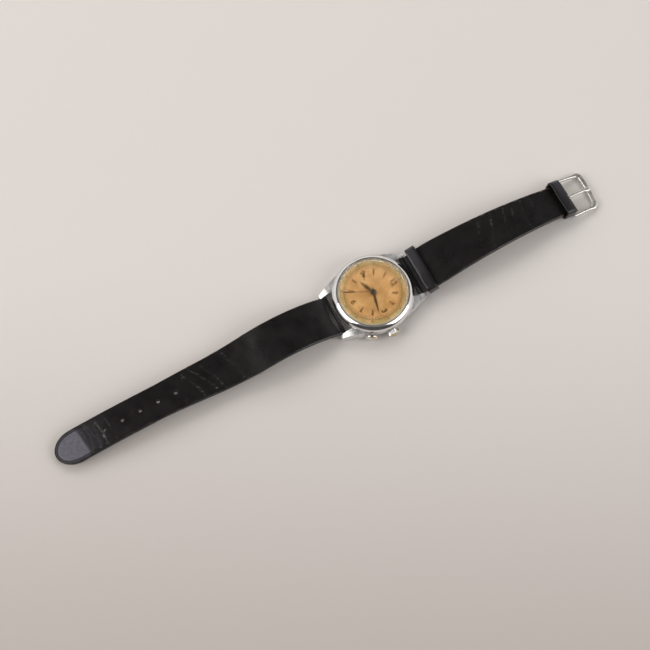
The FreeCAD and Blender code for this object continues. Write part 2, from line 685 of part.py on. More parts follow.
def make_train():
    """The wheels from centre to escape, each meshed with the one before it."""
    centre = gear(80, 0.09, 3.15, 3.35, CENTRE)
    centre = spoked(centre, CENTRE, 0.9, 3.1, 5, 3.15, 3.35)
    centre = centre.fuse(gear(12, 0.14, 4.35, 4.9, CENTRE)).fuse(rod(0.6, 3.05, 6.4))
    centre = centre.fuse(rod(0.42, 2.3, 8.0)).cut(rod(0.3, 2, 9))
    coded("centre_wheel", centre.removeSplitter())
    phase = mesh_phase(0, 80, CENTRE, 10, THIRD)
    third = gear(75, 0.085, 3.9, 4.1, THIRD, phase)
    third = spoked(third, THIRD, 0.7, 2.7, 5, 3.9, 4.1)
    third = third.fuse(gear(10, 0.09, 3.1, 3.45, THIRD, phase))
    coded("third_wheel", third.fuse(arbor(THIRD, 3.05, 4.95, 2.65, 5.35)).removeSplitter())
    phase = mesh_phase(phase, 75, THIRD, 10, FOURTH)
    fourth = gear(80, 0.07, 4.5, 4.65, FOURTH, phase)
    fourth = spoked(fourth, FOURTH, 0.6, 2.35, 5, 4.5, 4.65)
    fourth = fourth.fuse(gear(10, 0.085, 3.8, 4.2, FOURTH, phase))
    fourth = fourth.fuse(gear(60, 0.05, 1.15, 1.4, FOURTH, phase))
    fourth = fourth.fuse(arbor(FOURTH, 1.15, 4.95, 1.15, 5.35))
    coded("fourth_wheel", fourth.removeSplitter())
    drive = phase
    phase = mesh_phase(phase, 80, FOURTH, 8, ESCAPE)
    teeth = []
    for tooth in range(15):
        angle = 2 * math.pi * tooth / 15
        teeth.append(polar(1.65, angle, ESCAPE))
        teeth.append(polar(1.68, angle + 0.19, ESCAPE))
        teeth.append(polar(2.2, angle + 0.3, ESCAPE))
        teeth.append(polar(2.17, angle + 0.34, ESCAPE))
        teeth.append(polar(1.7, angle + 0.38, ESCAPE))
    escape = spoked(prism(teeth, 3.55, 3.7), ESCAPE, 0.5, 1.4, 4, 3.55, 3.7)
    escape = escape.fuse(gear(8, 0.07, 4.4, 4.75, ESCAPE, phase))
    coded("escape_wheel", escape.fuse(arbor(ESCAPE, 3.05, 4.95, 2.65, 5.35)).removeSplitter())
    return drive


def make_escapement():
    """Pallet fork, balance with its roller, and hairspring."""
    fork = bar((0, 0), (1.3, 0), 0.35, 3.5, 3.7).fuse(rod(0.35, 3.5, 3.7))
    for side in (1, -1):
        fork = fork.fuse(bar((1.2, side * 0.1), (1.68, side * 0.27), 0.16, 3.5, 3.7))
        stone = polar(2.32, side * math.radians(30), (-2.54, 0))
        fork = fork.fuse(bar((0, 0), (stone[0] + 0.15, stone[1]), 0.35, 3.5, 3.7))
        fork = fork.cut(rod(2.23, 3, 4, (-2.54, 0)))
    fork = fork.fuse(rod(mm("arbor_radius"), 3.42, 4.95).fuse(rod(mm("pivot_radius"), 3.1, 5.35)))
    line = math.atan2(BALANCE[1] - PALLET[1], BALANCE[0] - PALLET[0])
    fork.rotate(Vector(), Vector(0, 0, 1), math.degrees(line))
    fork.translate(Vector(PALLET[0], PALLET[1], 0))
    coded("pallet_fork", fork.removeSplitter())
    wheel = rod(4.2, 2.35, 2.85, BALANCE)
    wheel = wheel.cut(rod(3.8, 2, 3, BALANCE))
    for angle in (0.5, 0.5 + math.pi / 2):
        wheel = wheel.fuse(bar(polar(-3.9, angle, BALANCE), polar(3.9, angle, BALANCE), 0.45,
                               2.5, 2.7))
    for screw in range(12):
        head = rod(0.28, 2.85, 3.0, polar(4.0, math.radians(30 * screw + 15), BALANCE))
        wheel = wheel.fuse(head)
    wheel = wheel.fuse(arbor(BALANCE, 1.95, 4.95, 1.6, 5.35)).fuse(rod(0.8, 3.1, 3.3, BALANCE))
    pin = polar(0.62, line + math.pi, BALANCE)
    wheel = wheel.fuse(rod(0.1, 3.3, 3.7, pin))
    coded("balance_wheel", wheel.removeSplitter())
    coded("hairspring", spiral(0.5, 0.22, 6, 0.06, 2.0, 2.2, BALANCE))


def make_motion_work():
    phase = 0.0
    cannon = gear(12, 0.13, 6.45, 6.75, CENTRE, phase).fuse(rod(0.6, 6.45, mm("minute_z")))
    coded("cannon_pinion", cannon.cut(rod(0.42, 6, 9)).removeSplitter())
    phase = mesh_phase(phase, 12, CENTRE, 36, MOTION)
    minute = gear(36, 0.13, 6.5, 6.7, MOTION, phase)
    minute = minute.fuse(gear(10, 0.1248, 6.7, 7.05, MOTION, phase))
    coded("minute_wheel", minute.cut(rod(0.26, 6, 8, MOTION)).removeSplitter())
    phase = mesh_phase(phase, 10, MOTION, 40, CENTRE)
    hour = gear(40, 0.1248, 6.8, 7.0, CENTRE, phase).fuse(rod(0.95, 6.8, mm("hour_z")))
    coded("hour_wheel", hour.cut(rod(0.65, 6, 9)).removeSplitter())


# ---------------------------------------------------------------- winding and setting

def make_winding():
    teeth, module = 16, 0.1749
    pinion = gear(teeth, module, 8.2, 8.9, CENTRE, 0).fuse(rod(1.0, 7.7, 8.2))
    pinion = pinion.cut(rod(mm("stem_radius") + 0.04, 7, 10))
    coded("winding_pinion", pinion.removeSplitter(), radial(0, mm("stem_z")))
    slide = pipe(mm("stem_radius") + 0.04, 1.0, 6.8, 7.6)
    slide = slide.cut(pipe(0.82, 1.1, 7.05, 7.3))
    coded("sliding_pinion", slide, radial(0, mm("stem_z")))
    phase = math.pi / 28
    wheel = gear(28, module, 1.65, 2.15, CROWN_WHEEL, phase)
    coded("crown_wheel", wheel.cut(rod(0.85, 1, 3, CROWN_WHEEL)))
    phase = mesh_phase(phase, 28, CROWN_WHEEL, 58, BARREL)
    ratchet = gear(58, module, 1.65, 2.05, BARREL, phase)
    coded("ratchet_wheel", ratchet.cut(rod(0.5, 1, 3, BARREL)))
    line = math.atan2(BARREL[1] - CLICK[1], BARREL[0] - CLICK[0])
    click = rod(0.55, 1.65, 2.1, CLICK)
    click = click.fuse(bar(CLICK, polar(0.82, line + 0.3, CLICK), 0.32, 1.65, 2.1))
    click = click.fuse(bar(CLICK, polar(1.6, line + 2.6, CLICK), 0.5, 1.65, 2.1))
    clear = rod(5.072 + 0.85 * module + 0.02, 1, 3, BARREL)
    coded("click", click.cut(clear).cut(rod(0.25, 1, 3, CLICK)).removeSplitter())
    low, high = 3.35, 3.65
    tip = (9.82, SET_LEVER[1] - 2.25)
    lever = bar(SET_LEVER, tip, 0.28, low, high).fuse(rod(0.65, low, high, SET_LEVER))
    lever = lever.fuse(bar(SET_LEVER, (11.0, 4.6), 0.5, low, high))
    coded("setting_lever", lever.cut(rod(0.34, 3, 4, SET_LEVER)).removeSplitter())


# ---------------------------------------------------------------- chronograph work

def make_chronograph(drive_phase):
    phase = mesh_phase(drive_phase, 60, FOURTH, 50, COUPLING)
    coupling = gear(50, 0.05, 1.15, 1.4, COUPLING, phase)
    coupling = coupling.fuse(rod(0.2, 1.4, 2.0, COUPLING))
    coded("coupling_wheel", coupling.removeSplitter())
    phase = mesh_phase(phase, 50, COUPLING, 60, CENTRE)
    wheel = gear(60, 0.05, 1.12, 1.27, CENTRE, phase)
    heart = rod(0.5, 1.27, 1.5, (0.12, 0)).fuse(rod(0.45, 1.27, 1.5, (-0.25, 0.22)))
    heart = heart.fuse(rod(0.45, 1.27, 1.5, (-0.25, -0.22)))
    wheel = wheel.fuse(heart).fuse(rod(mm("arbor_radius"), 1.12, mm("sweep_z") + 0.12))
    coded("chronograph_wheel", wheel.removeSplitter())
    lever = bar(FOURTH, COUPLING, 0.7, 1.65, 1.85).fuse(rod(0.6, 1.65, 1.85, FOURTH))
    lever = lever.fuse(bar(FOURTH, (-6.2, -3.0), 0.6, 1.65, 1.85))
    lever = lever.cut(rod(0.28, 1, 3, FOURTH)).cut(rod(0.22, 1, 3, COUPLING))
    coded("coupling_lever", lever.removeSplitter())
    column = gear(12, 0.2, 1.15, 1.35, COLUMN).fuse(rod(0.75, 1.35, 2.15, COLUMN))
    for pillar in range(6):
        angle = pillar * math.pi / 3
        post = rod(0.22, 1.35, 1.9, polar(0.95, angle, COLUMN))
        column = column.fuse(post)
    coded("column_wheel", column.removeSplitter())
    tab = polar(11.85, math.radians(mm("push_angle")))
    lever = bar(PUSH_LEVER, tab, 0.7, 1.15, 1.45).fuse(rod(0.6, 1.15, 1.45, PUSH_LEVER))
    lever = lever.fuse(bar(PUSH_LEVER, (10.9, 3.5), 0.5, 1.15, 1.45))
    arm = Part.makeBox(0.22, 1.0, 2.8, Vector(-0.1, -0.5, 1.15))
    arm.rotate(Vector(), Vector(0, 0, 1), mm("push_angle"))
    arm.translate(Vector(tab[0], tab[1], 0))
    lever = lever.fuse(arm).cut(rod(0.38, 1, 2, PUSH_LEVER))
    coded("operating_lever", lever.removeSplitter())
    low, high = 1.3, 1.5
    hammer = rod(0.6, low, high, HAMMER).fuse(bar(HAMMER, (2.2, 1.15), 0.5, low, high))
    hammer = hammer.fuse(bar((2.2, 1.15), (1.75, 0.1), 0.5, low, high))
    coded("reset_hammer", hammer.cut(rod(0.25, 1, 2, HAMMER)).removeSplitter())


# ---------------------------------------------------------------- strap

class ArcPath:
    """A chain of arcs in the YZ plane, which the strap's middle line follows."""

    def __init__(self, start, degrees, bends):
        self.spans = []
        point, angle = start, math.radians(degrees)
        for radius, turn_degrees in bends:
            turn_angle = math.radians(turn_degrees)
            self.spans.append((point, angle, radius, turn_angle))
            point, angle = self.ahead(self.spans[-1], 1.0)
        self.end, self.end_angle = point, angle

    @staticmethod
    def ahead(span, share):
        """The point and direction at a share of a span.  A turn below 0 bends down."""
        (y, z), angle, radius, turn_angle = span
        sign = 1 if turn_angle > 0 else -1
        later = angle + turn_angle * share
        y += sign * radius * (math.sin(later) - math.sin(angle))
        z -= sign * radius * (math.cos(later) - math.cos(angle))
        return (y, z), later

    def offset_points(self, offset):
        """Start, middle and end points of each span, at an offset above the line."""
        rows = []
        for span in self.spans:
            row = []
            for share in (0.0, 0.5, 1.0):
                (y, z), angle = self.ahead(span, share)
                row.append(Vector(0, y - offset * math.sin(angle), z + offset * math.cos(angle)))
            rows.append(row)
        return rows

    def length(self):
        return sum(span[2] * abs(span[3]) for span in self.spans)

    def at(self, distance):
        """The point and direction at a distance along the line."""
        for span in self.spans:
            length = span[2] * abs(span[3])
            if distance <= length:
                return self.ahead(span, distance / length)
            distance -= length
        return self.end, self.end_angle


def layer(path, low, high):
    """The space between two offsets of a path, 40 mm wide about X = 0."""
    under, over = path.offset_points(low), path.offset_points(high)
    edges = [Part.Arc(*row).toShape() for row in under]
    edges.append(Part.LineSegment(under[-1][2], over[-1][2]).toShape())
    edges += [Part.Arc(*reversed(row)).toShape() for row in reversed(over)]
    edges.append(Part.LineSegment(over[0][0], under[0][0]).toShape())
    shape = Part.Face(Part.Wire(edges)).extrude(Vector(40, 0, 0))
    shape.translate(Vector(-20, 0, 0))
    return shape


def plan_prism(outline_points, tip=None):
    """The strap's plan, raised through the whole height; the tip is rounded."""
    left = [Vector(-x, y, -20) for x, y in outline_points]
    right = [Vector(x, y, -20) for x, y in reversed(outline_points)]
    corners = left + right
    edges = [Part.LineSegment(a, b).toShape() for a, b in zip(left, left[1:])]
    if tip is None:
        edges.append(Part.LineSegment(left[-1], right[0]).toShape())
    else:
        edges.append(Part.Arc(left[-1], Vector(0, tip, -20), right[0]).toShape())
    edges += [Part.LineSegment(a, b).toShape() for a, b in zip(right, right[1:])]
    edges.append(Part.LineSegment(corners[-1], corners[0]).toShape())
    return Part.Face(Part.Wire(edges)).extrude(Vector(0, 0, 60))


LONG_BENDS = ((46.0, -46.0), (75.0, 19.0), (266.0, -14.65))
LONG_START = 31.0


def long_path():
    """The 6 o'clock strap's middle line, drawn towards +Y; the part is turned to -Y."""
    return ArcPath((mm("bar_y"), mm("bar_z")), LONG_START, LONG_BENDS)


def short_path():
    """The 12 o'clock strap's middle line: one arc from the spring bar to the buckle bar."""
    start = Vector(0, mm("bar_y"), mm("bar_z"))
    end = Vector(0, mm("buckle_y"), mm("buckle_z"))
    radius = mm("short_radius")
    chord = end - start
    half = math.asin(chord.Length / 2 / radius)
    tilt = math.atan2(chord.z, chord.y)
    return ArcPath((start.y, start.z), math.degrees(tilt + half),
                   ((radius, -2 * math.degrees(half)),))


def x_rod(radius, y, z, half_length):
    """A round bar along X."""
    return Part.makeCylinder(radius, 2 * half_length, Vector(-half_length, y, z),
                             Vector(1, 0, 0))


def strap_pair(name, path, plan, tip, ends, slot, place):
    """Upper leather and lining.  Each roll wraps a bar and belongs to the upper."""
    half, split = mm("strap_half"), mm("split_offset")
    block = plan_prism(plan, tip)
    upper = layer(path, split, half).common(block)
    lining = layer(path, -half, split).common(block)
    for y, z, roll, hole, half_width in ends:
        outer = x_rod(roll, y, z, half_width)
        upper = upper.fuse(outer)
        lining = lining.cut(outer)
        upper = upper.cut(x_rod(hole, y, z, half_width + 1))
    if slot is not None:
        upper = upper.cut(slot)
        lining = lining.cut(slot)
    return [(name + "_upper", upper, place), (name + "_lining", lining, place)]


def make_strap_long():
    width, tail = mm("strap_width") / 2, mm("tail_width") / 2
    path = long_path()
    reach = path.end[0]
    start = mm("bar_y")
    plan = [(width, start), (width, mm("long_taper_from")), (tail, mm("long_taper_to")),
            (tail, reach - 9.0)]
    roll = [(start, mm("bar_z"), mm("roll_radius"), mm("roll_hole"), width)]
    pieces = strap_pair("strap_long", path, plan, reach, roll, None,
                        Placement(Vector(), Rotation(Vector(0, 0, 1), 180)))
    for name, shape, place in pieces:
        for hole in range(5):
            y = mm("hole_first") + hole * mm("hole_pitch")
            shape = shape.cut(Part.makeCylinder(mm("hole_radius"), 40, Vector(0, y, -20)))
        coded(name, shape, place)


def make_strap_short():
    width, tail = mm("strap_width") / 2, mm("tail_width") / 2
    path = short_path()
    start, end = mm("bar_y"), mm("buckle_y")
    bulge, lug_end = mm("bulge_width") / 2, mm("lug_tip_y")
    plan = [(width, start), (width, lug_end + 0.5), (bulge, lug_end + 3.5),
            (bulge, mm("short_taper_from")), (tail, mm("short_taper_to")), (tail, end)]
    rolls = [(start, mm("bar_z"), mm("roll_radius"), mm("roll_hole"), width),
             (end, mm("buckle_z"), mm("buckle_roll"), mm("buckle_hole"), tail)]
    slot = Part.makeBox(2.0, 4.8, 12, Vector(-1.0, end - 2.8, -4))
    for name, shape, place in strap_pair("strap_short", path, plan, None, rolls, slot,
                                         Placement()):
        coded(name, shape, place)


def make_keepers():
    """Leather loops round the short strap, with room for the long strap's tail above it."""
    path = short_path()
    half, wall = mm("strap_half"), mm("keeper_wall")
    room = 4 * half - half + 0.25
    end, gap = path.length(), 0.12
    spans = {"sliding_keeper": (2.9, 7.3, mm("bulge_width") / 2 + 0.25),
             "fixed_keeper": (end - 6.1, end - 1.5, mm("tail_width") / 2 + 0.35)}
    for name, (first, last, inner) in spans.items():
        (y, z), angle = path.at((first + last) / 2)
        length = last - first
        outer_box = Part.makeBox(2 * (inner + wall), length, room + half + gap + 2 * wall,
                                 Vector(-inner - wall, -length / 2, -half - gap - wall))
        inner_box = Part.makeBox(2 * inner, length + 2, room + half + gap,
                                 Vector(-inner, -length / 2 - 1, -half - gap))
        verticals = [edge for edge in outer_box.Edges
                     if abs(edge.tangentAt(edge.FirstParameter).y) > 0.9]
        shape = outer_box.makeFillet(1.0, verticals).cut(inner_box)
        coded(name, shape, Placement(Vector(0, y, z), Rotation(Vector(1, 0, 0),
                                                                math.degrees(angle))))


def make_buckle():
    """A rounded wire frame, its hinge bar, and the tongue that lies on the far bar."""
    y, z, slope = mm("buckle_y"), mm("buckle_z"), mm("buckle_slope")
    length, height = mm("buckle_length"), mm("buckle_half")
    wide, narrow = mm("buckle_wide"), mm("buckle_narrow")
    outer = [(-wide, -1.0), (wide, -1.0), (narrow, length - 1.6), (-narrow, length - 1.6)]
    inner = [(-wide + 1.35, -3.0), (wide - 1.35, -3.0), (narrow - 1.3, length - 4.0),
             (-narrow + 1.3, length - 4.0)]
    frame = prism(outer, -height, height)
    corners = [edge for edge in frame.Edges
               if abs(edge.tangentAt(edge.FirstParameter).z) > 0.9 and edge.CenterOfMass.y > 5]
    frame = frame.makeFillet(2.0, corners).cut(prism(inner, -5, 5))
    rims = [edge for edge in frame.Edges
            if abs(abs(edge.CenterOfMass.z) - height) < 0.01 and edge.CenterOfMass.y > -1.5]
    frame = frame.makeFillet(0.4, rims)
    frame = frame.cut(x_rod(mm("buckle_bar_radius") - 0.1, 0, 0, 20))
    place = Placement(Vector(0, y, z), Rotation(Vector(1, 0, 0), slope))
    coded("buckle_frame", frame, place)
    bar_shape = x_rod(mm("buckle_bar_radius"), 0, 0, wide - 1.8)
    bar_shape = bar_shape.fuse(x_rod(mm("buckle_bar_radius") - 0.15, 0, 0, wide - 0.3))
    coded("buckle_bar", bar_shape, Placement(Vector(0, y, z), Rotation()))
    tongue = x_rod(1.0, 0, 0, 0.8)
    reach = length - 2.2
    blade = [Vector(0, 0, 0.35), Vector(0, reach, 1.06), Vector(0, reach, 1.75),
             Vector(0, 0, 1.15)]
    blade = Part.Face(Part.makePolygon(blade + blade[:1])).extrude(Vector(1.6, 0, 0))
    blade.translate(Vector(-0.8, 0, 0))
    tongue = tongue.fuse(blade).cut(x_rod(mm("buckle_hole") - 0.05, 0, 0, 3))
    coded("buckle_tongue", tongue.removeSplitter(), place)


def make_spring_bars():
    for name, sign in (("spring_bar_12", 1), ("spring_bar_6", -1)):
        y = sign * mm("bar_y")
        shape = x_rod(mm("bar_radius"), y, mm("bar_z"), 8.7)
        coded(name, shape.fuse(x_rod(mm("bar_tip"), y, mm("bar_z"), 9.85)))


# ---------------------------------------------------------------- build and write

def check_document():
    """Stop if any object failed to build."""
    for item in doc.Objects:
        for state in item.State:
            if state in ("Invalid", "Error"):
                raise RuntimeError("%s did not build: %s" % (item.Label, item.State))
    for part in parts:
        if part.Shape.isNull() or not part.Shape.isValid():
            raise RuntimeError("%s has no valid shape" % part.Label)


make_case()
make_case_parts()
make_dial()
make_hour_markers()
make_hands()
make_crown_group()
make_main_plate()
make_bridges()
make_fixings()
make_barrel()
drive = make_train()
make_escapement()
make_motion_work()
make_winding()
make_chronograph(drive)
make_strap_long()
make_strap_short()
make_keepers()
make_buckle()
make_spring_bars()
doc.recompute()
check_document()
os.makedirs("parts", exist_ok=True)
for part in parts:
    part.Shape.exportStep(os.path.join("parts", part.Label + ".step"))
print("%d parts written" % len(parts))
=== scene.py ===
import bpy
import bmesh
import json
import math
import numpy as np
from mathutils import Matrix, Vector, noise


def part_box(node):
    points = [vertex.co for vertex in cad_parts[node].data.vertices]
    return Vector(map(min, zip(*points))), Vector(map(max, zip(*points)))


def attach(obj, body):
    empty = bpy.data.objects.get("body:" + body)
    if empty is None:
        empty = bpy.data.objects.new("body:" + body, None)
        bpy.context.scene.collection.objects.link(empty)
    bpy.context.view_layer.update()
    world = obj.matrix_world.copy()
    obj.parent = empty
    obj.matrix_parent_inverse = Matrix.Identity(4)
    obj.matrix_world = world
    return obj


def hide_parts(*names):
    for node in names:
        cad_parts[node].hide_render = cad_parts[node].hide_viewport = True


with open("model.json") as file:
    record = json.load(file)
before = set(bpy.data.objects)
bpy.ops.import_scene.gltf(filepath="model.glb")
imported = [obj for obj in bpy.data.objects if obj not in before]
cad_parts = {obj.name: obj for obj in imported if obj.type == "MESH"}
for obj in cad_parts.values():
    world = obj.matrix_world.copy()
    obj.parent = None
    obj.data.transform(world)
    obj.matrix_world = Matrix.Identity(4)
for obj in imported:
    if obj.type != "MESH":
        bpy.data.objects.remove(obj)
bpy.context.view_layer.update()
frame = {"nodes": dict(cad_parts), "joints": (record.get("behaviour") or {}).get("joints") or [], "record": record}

# Looks for a wristwatch laid flat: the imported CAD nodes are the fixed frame, in metres, +Z out of
# the dial and +Y towards 12 o'clock.  Lengths below are in millimetres until they meet a mesh.

MM = 0.001
NODES = frame["nodes"]
JOINTS = {joint["name"]: joint for joint in frame["joints"]}


def node_box(name):
    """The lowest and highest corners of a CAD node, in millimetres."""
    low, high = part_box(name)
    return low / MM, high / MM


def joint_place(name):
    """A joint's point in millimetres."""
    return Vector(JOINTS[name]["pos_m"]) / MM


# ---------------------------------------------------------------- shader helpers

class Shader:
    """A node material with one Principled shader and object coordinates."""

    def __init__(self, name, color=(0.5, 0.5, 0.5), metallic=0.0, roughness=0.5, **sockets):
        self.material = bpy.data.materials.new(name)
        self.material.use_nodes = True
        self.tree = self.material.node_tree
        self.surface = self.tree.nodes["Principled BSDF"]
        self.set("Base Color", (*color, 1.0))
        self.set("Metallic", metallic)
        self.set("Roughness", roughness)
        for socket, value in sockets.items():
            self.set(socket.replace("_", " "), value)
        self.place = self.node("ShaderNodeTexCoord").outputs["Object"]

    def set(self, socket, value):
        self.surface.inputs[socket].default_value = value

    def node(self, kind):
        return self.tree.nodes.new(kind)

    def join(self, source, target):
        self.tree.links.new(source, target)

    def feed(self, socket, source):
        self.join(source, self.surface.inputs[socket])

    def stretched(self, scale):
        """Object coordinates scaled along each axis."""
        mapping = self.node("ShaderNodeMapping")
        mapping.inputs["Scale"].default_value = scale
        self.join(self.place, mapping.inputs["Vector"])
        return mapping.outputs["Vector"]

    def noise(self, scale, detail=4.0, roughness=0.55, vector=None, distortion=0.0):
        texture = self.node("ShaderNodeTexNoise")
        texture.inputs["Scale"].default_value = scale
        texture.inputs["Detail"].default_value = detail
        texture.inputs["Roughness"].default_value = roughness
        texture.inputs["Distortion"].default_value = distortion
        self.join(vector or self.place, texture.inputs["Vector"])
        return texture.outputs["Fac"]

    def cells(self, scale):
        texture = self.node("ShaderNodeTexVoronoi")
        texture.feature = "DISTANCE_TO_EDGE"
        texture.inputs["Scale"].default_value = scale
        self.join(self.place, texture.inputs["Vector"])
        return texture.outputs["Distance"]

    def ramp(self, source, stops):
        """Colours or greys at positions from 0 to 1."""
        ramp = self.node("ShaderNodeValToRGB")
        elements = ramp.color_ramp.elements
        while len(elements) < len(stops):
            elements.new(0.5)
        for element, (position, color) in zip(elements, stops):
            element.position = position
            if isinstance(color, (int, float)):
                color = (color, color, color)
            element.color = (*color, 1.0)
        self.join(source, ramp.inputs["Fac"])
        return ramp.outputs["Color"]

    def mix(self, factor, first, second):
        """Mix two colours: each is a tuple or a socket."""
        mix = self.node("ShaderNodeMix")
        mix.data_type = "RGBA"
        self.fill(mix.inputs[0], factor)
        self.fill(mix.inputs[6], first)
        self.fill(mix.inputs[7], second)
        return mix.outputs[2]

    def fill(self, socket, value):
        if isinstance(value, tuple):
            socket.default_value = (*value, 1.0)
        elif isinstance(value, (int, float)):
            socket.default_value = value
        else:
            self.join(value, socket)

    def math(self, operation, first, second):
        node = self.node("ShaderNodeMath")
        node.operation = operation
        self.fill(node.inputs[0], first)
        self.fill(node.inputs[1], second)
        return node.outputs[0]

    def attribute(self, name):
        node = self.node("ShaderNodeAttribute")
        node.attribute_name = name
        return node.outputs["Fac"]

    def bump(self, height, distance, strength=1.0, under=None):
        """Add relief: distance is the height of a full step, in metres."""
        bump = self.node("ShaderNodeBump")
        bump.inputs["Strength"].default_value = strength
        bump.inputs["Distance"].default_value = distance
        self.join(height, bump.inputs["Height"])
        if under is not None:
            self.join(under, bump.inputs["Normal"])
        self.feed("Normal", bump.outputs["Normal"])
        return bump.outputs["Normal"]


# ---------------------------------------------------------------- materials

def polished_metal(name, color, roughness=0.08, wear=None, wear_from=0.62, metal=1.0,
                   painted_lip_within=0.0):
    """Bright metal with hairlines and smudges; it can be worn to brass, and within a radius of Z it can take
    painted light: a flat pale tan, mostly non-metal.
    """
    shader = Shader(name, color, metal, roughness)
    smudge = shader.noise(260.0, 3.0)
    hairline = shader.noise(900.0, 2.0, vector=shader.stretched((1.0, 9.0, 1.0)))
    mixed = shader.math("MULTIPLY", smudge, hairline)
    low, high = roughness * 0.6, roughness * 2.6
    shader.feed("Roughness", shader.ramp(mixed, [(0.12, low), (0.45, high)]))
    tint = tuple(channel * 0.86 for channel in color)
    base = shader.ramp(smudge, [(0.3, tint), (0.6, color)])
    if wear is not None:
        spots = shader.noise(420.0, 5.0, 0.65)
        mask = shader.ramp(spots, [(wear_from - 0.1, 0.0), (wear_from, 1.0)])
        base = shader.mix(mask, base, wear)
    # Painted light: inside the radius the metal turns pale tan and mostly non-metal, so the ledge under the
    # crystal reads lit instead of mirroring the dark above.
    if painted_lip_within:
        split = shader.node("ShaderNodeVectorMath")
        split.operation = "LENGTH"
        shader.join(shader.stretched((1.0, 1.0, 0.0)), split.inputs[0])
        inside = shader.math("LESS_THAN", split.outputs["Value"], painted_lip_within * MM)
        base = shader.mix(inside, base, (0.66, 0.56, 0.40))
        shader.feed("Metallic", shader.ramp(inside, [(0.0, 1.0), (1.0, 0.25)]))
    shader.feed("Base Color", base)
    shader.bump(hairline, 4e-6, 0.25)
    return shader.material


def brushed_metal(name, color, roughness=0.3, shade_spot=None):
    """Satin metal with a short grain.  The optional last argument is a dark round patch of painted shade, not
    metal: x, y, radius and colour.
    """
    shader = Shader(name, color, 1.0, roughness)
    grain = shader.noise(1400.0, 3.0, vector=shader.stretched((1.0, 14.0, 1.0)))
    cloud = shader.noise(300.0, 2.0)
    tint = tuple(channel * 0.8 for channel in color)
    base = shader.ramp(cloud, [(0.3, tint), (0.65, color)])
    # Painted shade: a dark non-metal disc stands in for the shade deep in a hole above it.
    if shade_spot is not None:
        shift = shader.node("ShaderNodeVectorMath")
        shift.operation = "DISTANCE"
        shader.join(shader.stretched((1.0, 1.0, 0.0)), shift.inputs[0])
        shift.inputs[1].default_value = (shade_spot[0] * MM, shade_spot[1] * MM, 0.0)
        inside = shader.math("LESS_THAN", shift.outputs["Value"], shade_spot[2] * MM)
        base = shader.mix(inside, base, shade_spot[3])
        shader.feed("Metallic", shader.math("SUBTRACT", 1.0, inside))
    shader.feed("Base Color", base)
    shader.feed("Roughness", shader.ramp(grain, [(0.3, roughness * 0.7), (0.7, roughness * 1.4)]))
    shader.bump(grain, 5e-6, 0.35)
    return shader.material


def black_leather():
    """Smooth glossy calf: fine pores, soft creases, scuffs where the mesh says wear, and a blue-grey painted
    sheen, a painted reflection of the lights, where the mesh asks for it.
    """
    shader = Shader("black_leather", (0.006, 0.005, 0.005), 0.0, 0.38, Specular_IOR_Level=0.42,
                    Coat_Weight=0.3, Coat_Roughness=0.16)
    cloud = shader.noise(160.0, 4.0)
    base = shader.ramp(cloud, [(0.3, (0.0042, 0.0034, 0.0034)), (0.7, (0.0085, 0.007, 0.0068))])
    scuff = shader.noise(1300.0, 6.0, 0.7, vector=shader.stretched((1.0, 0.35, 1.0)))
    mask = shader.math("MULTIPLY", shader.attribute("wear"),
                       shader.ramp(scuff, [(0.5, 0.0), (0.62, 1.0)]))
    # Painted sheen: where the mesh attribute asks for it, the black is mixed towards blue-grey to stand in for the
    # lights' reflection.
    rub_and_sheen = shader.mix(shader.attribute("painted_sheen"), base, (0.13, 0.12, 0.15))
    shader.feed("Base Color", shader.mix(mask, rub_and_sheen, (0.20, 0.185, 0.175)))
    fine = shader.noise(2600.0, 3.0)
    shader.feed("Roughness", shader.ramp(shader.math("ADD", shader.math("MULTIPLY", fine, 0.5),
                                                     shader.math("MULTIPLY", cloud, 0.5)),
                                         [(0.3, 0.23), (0.7, 0.44)]))
    pores = shader.bump(shader.cells(3200.0), 1.6e-5, 0.35)
    wrinkle = shader.noise(520.0, 5.0, 0.6, vector=shader.stretched((0.6, 1.6, 1.0)),
                           distortion=0.6)
    shader.bump(wrinkle, 9e-5, 0.3, under=pores)
    return shader.material


def lining_leather():
    """Matt split leather with a visible nap."""
    shader = Shader("lining_leather", (0.10, 0.06, 0.04), 0.0, 0.8)
    nap = shader.noise(1800.0, 6.0, 0.7)
    cloud = shader.noise(130.0, 4.0)
    blend = shader.math("MULTIPLY", nap, cloud)
    shader.feed("Base Color", shader.ramp(blend, [(0.12, (0.055, 0.032, 0.022)),
                                                  (0.42, (0.16, 0.10, 0.068))]))
    shader.bump(nap, 6e-5, 0.5)
    return shader.material


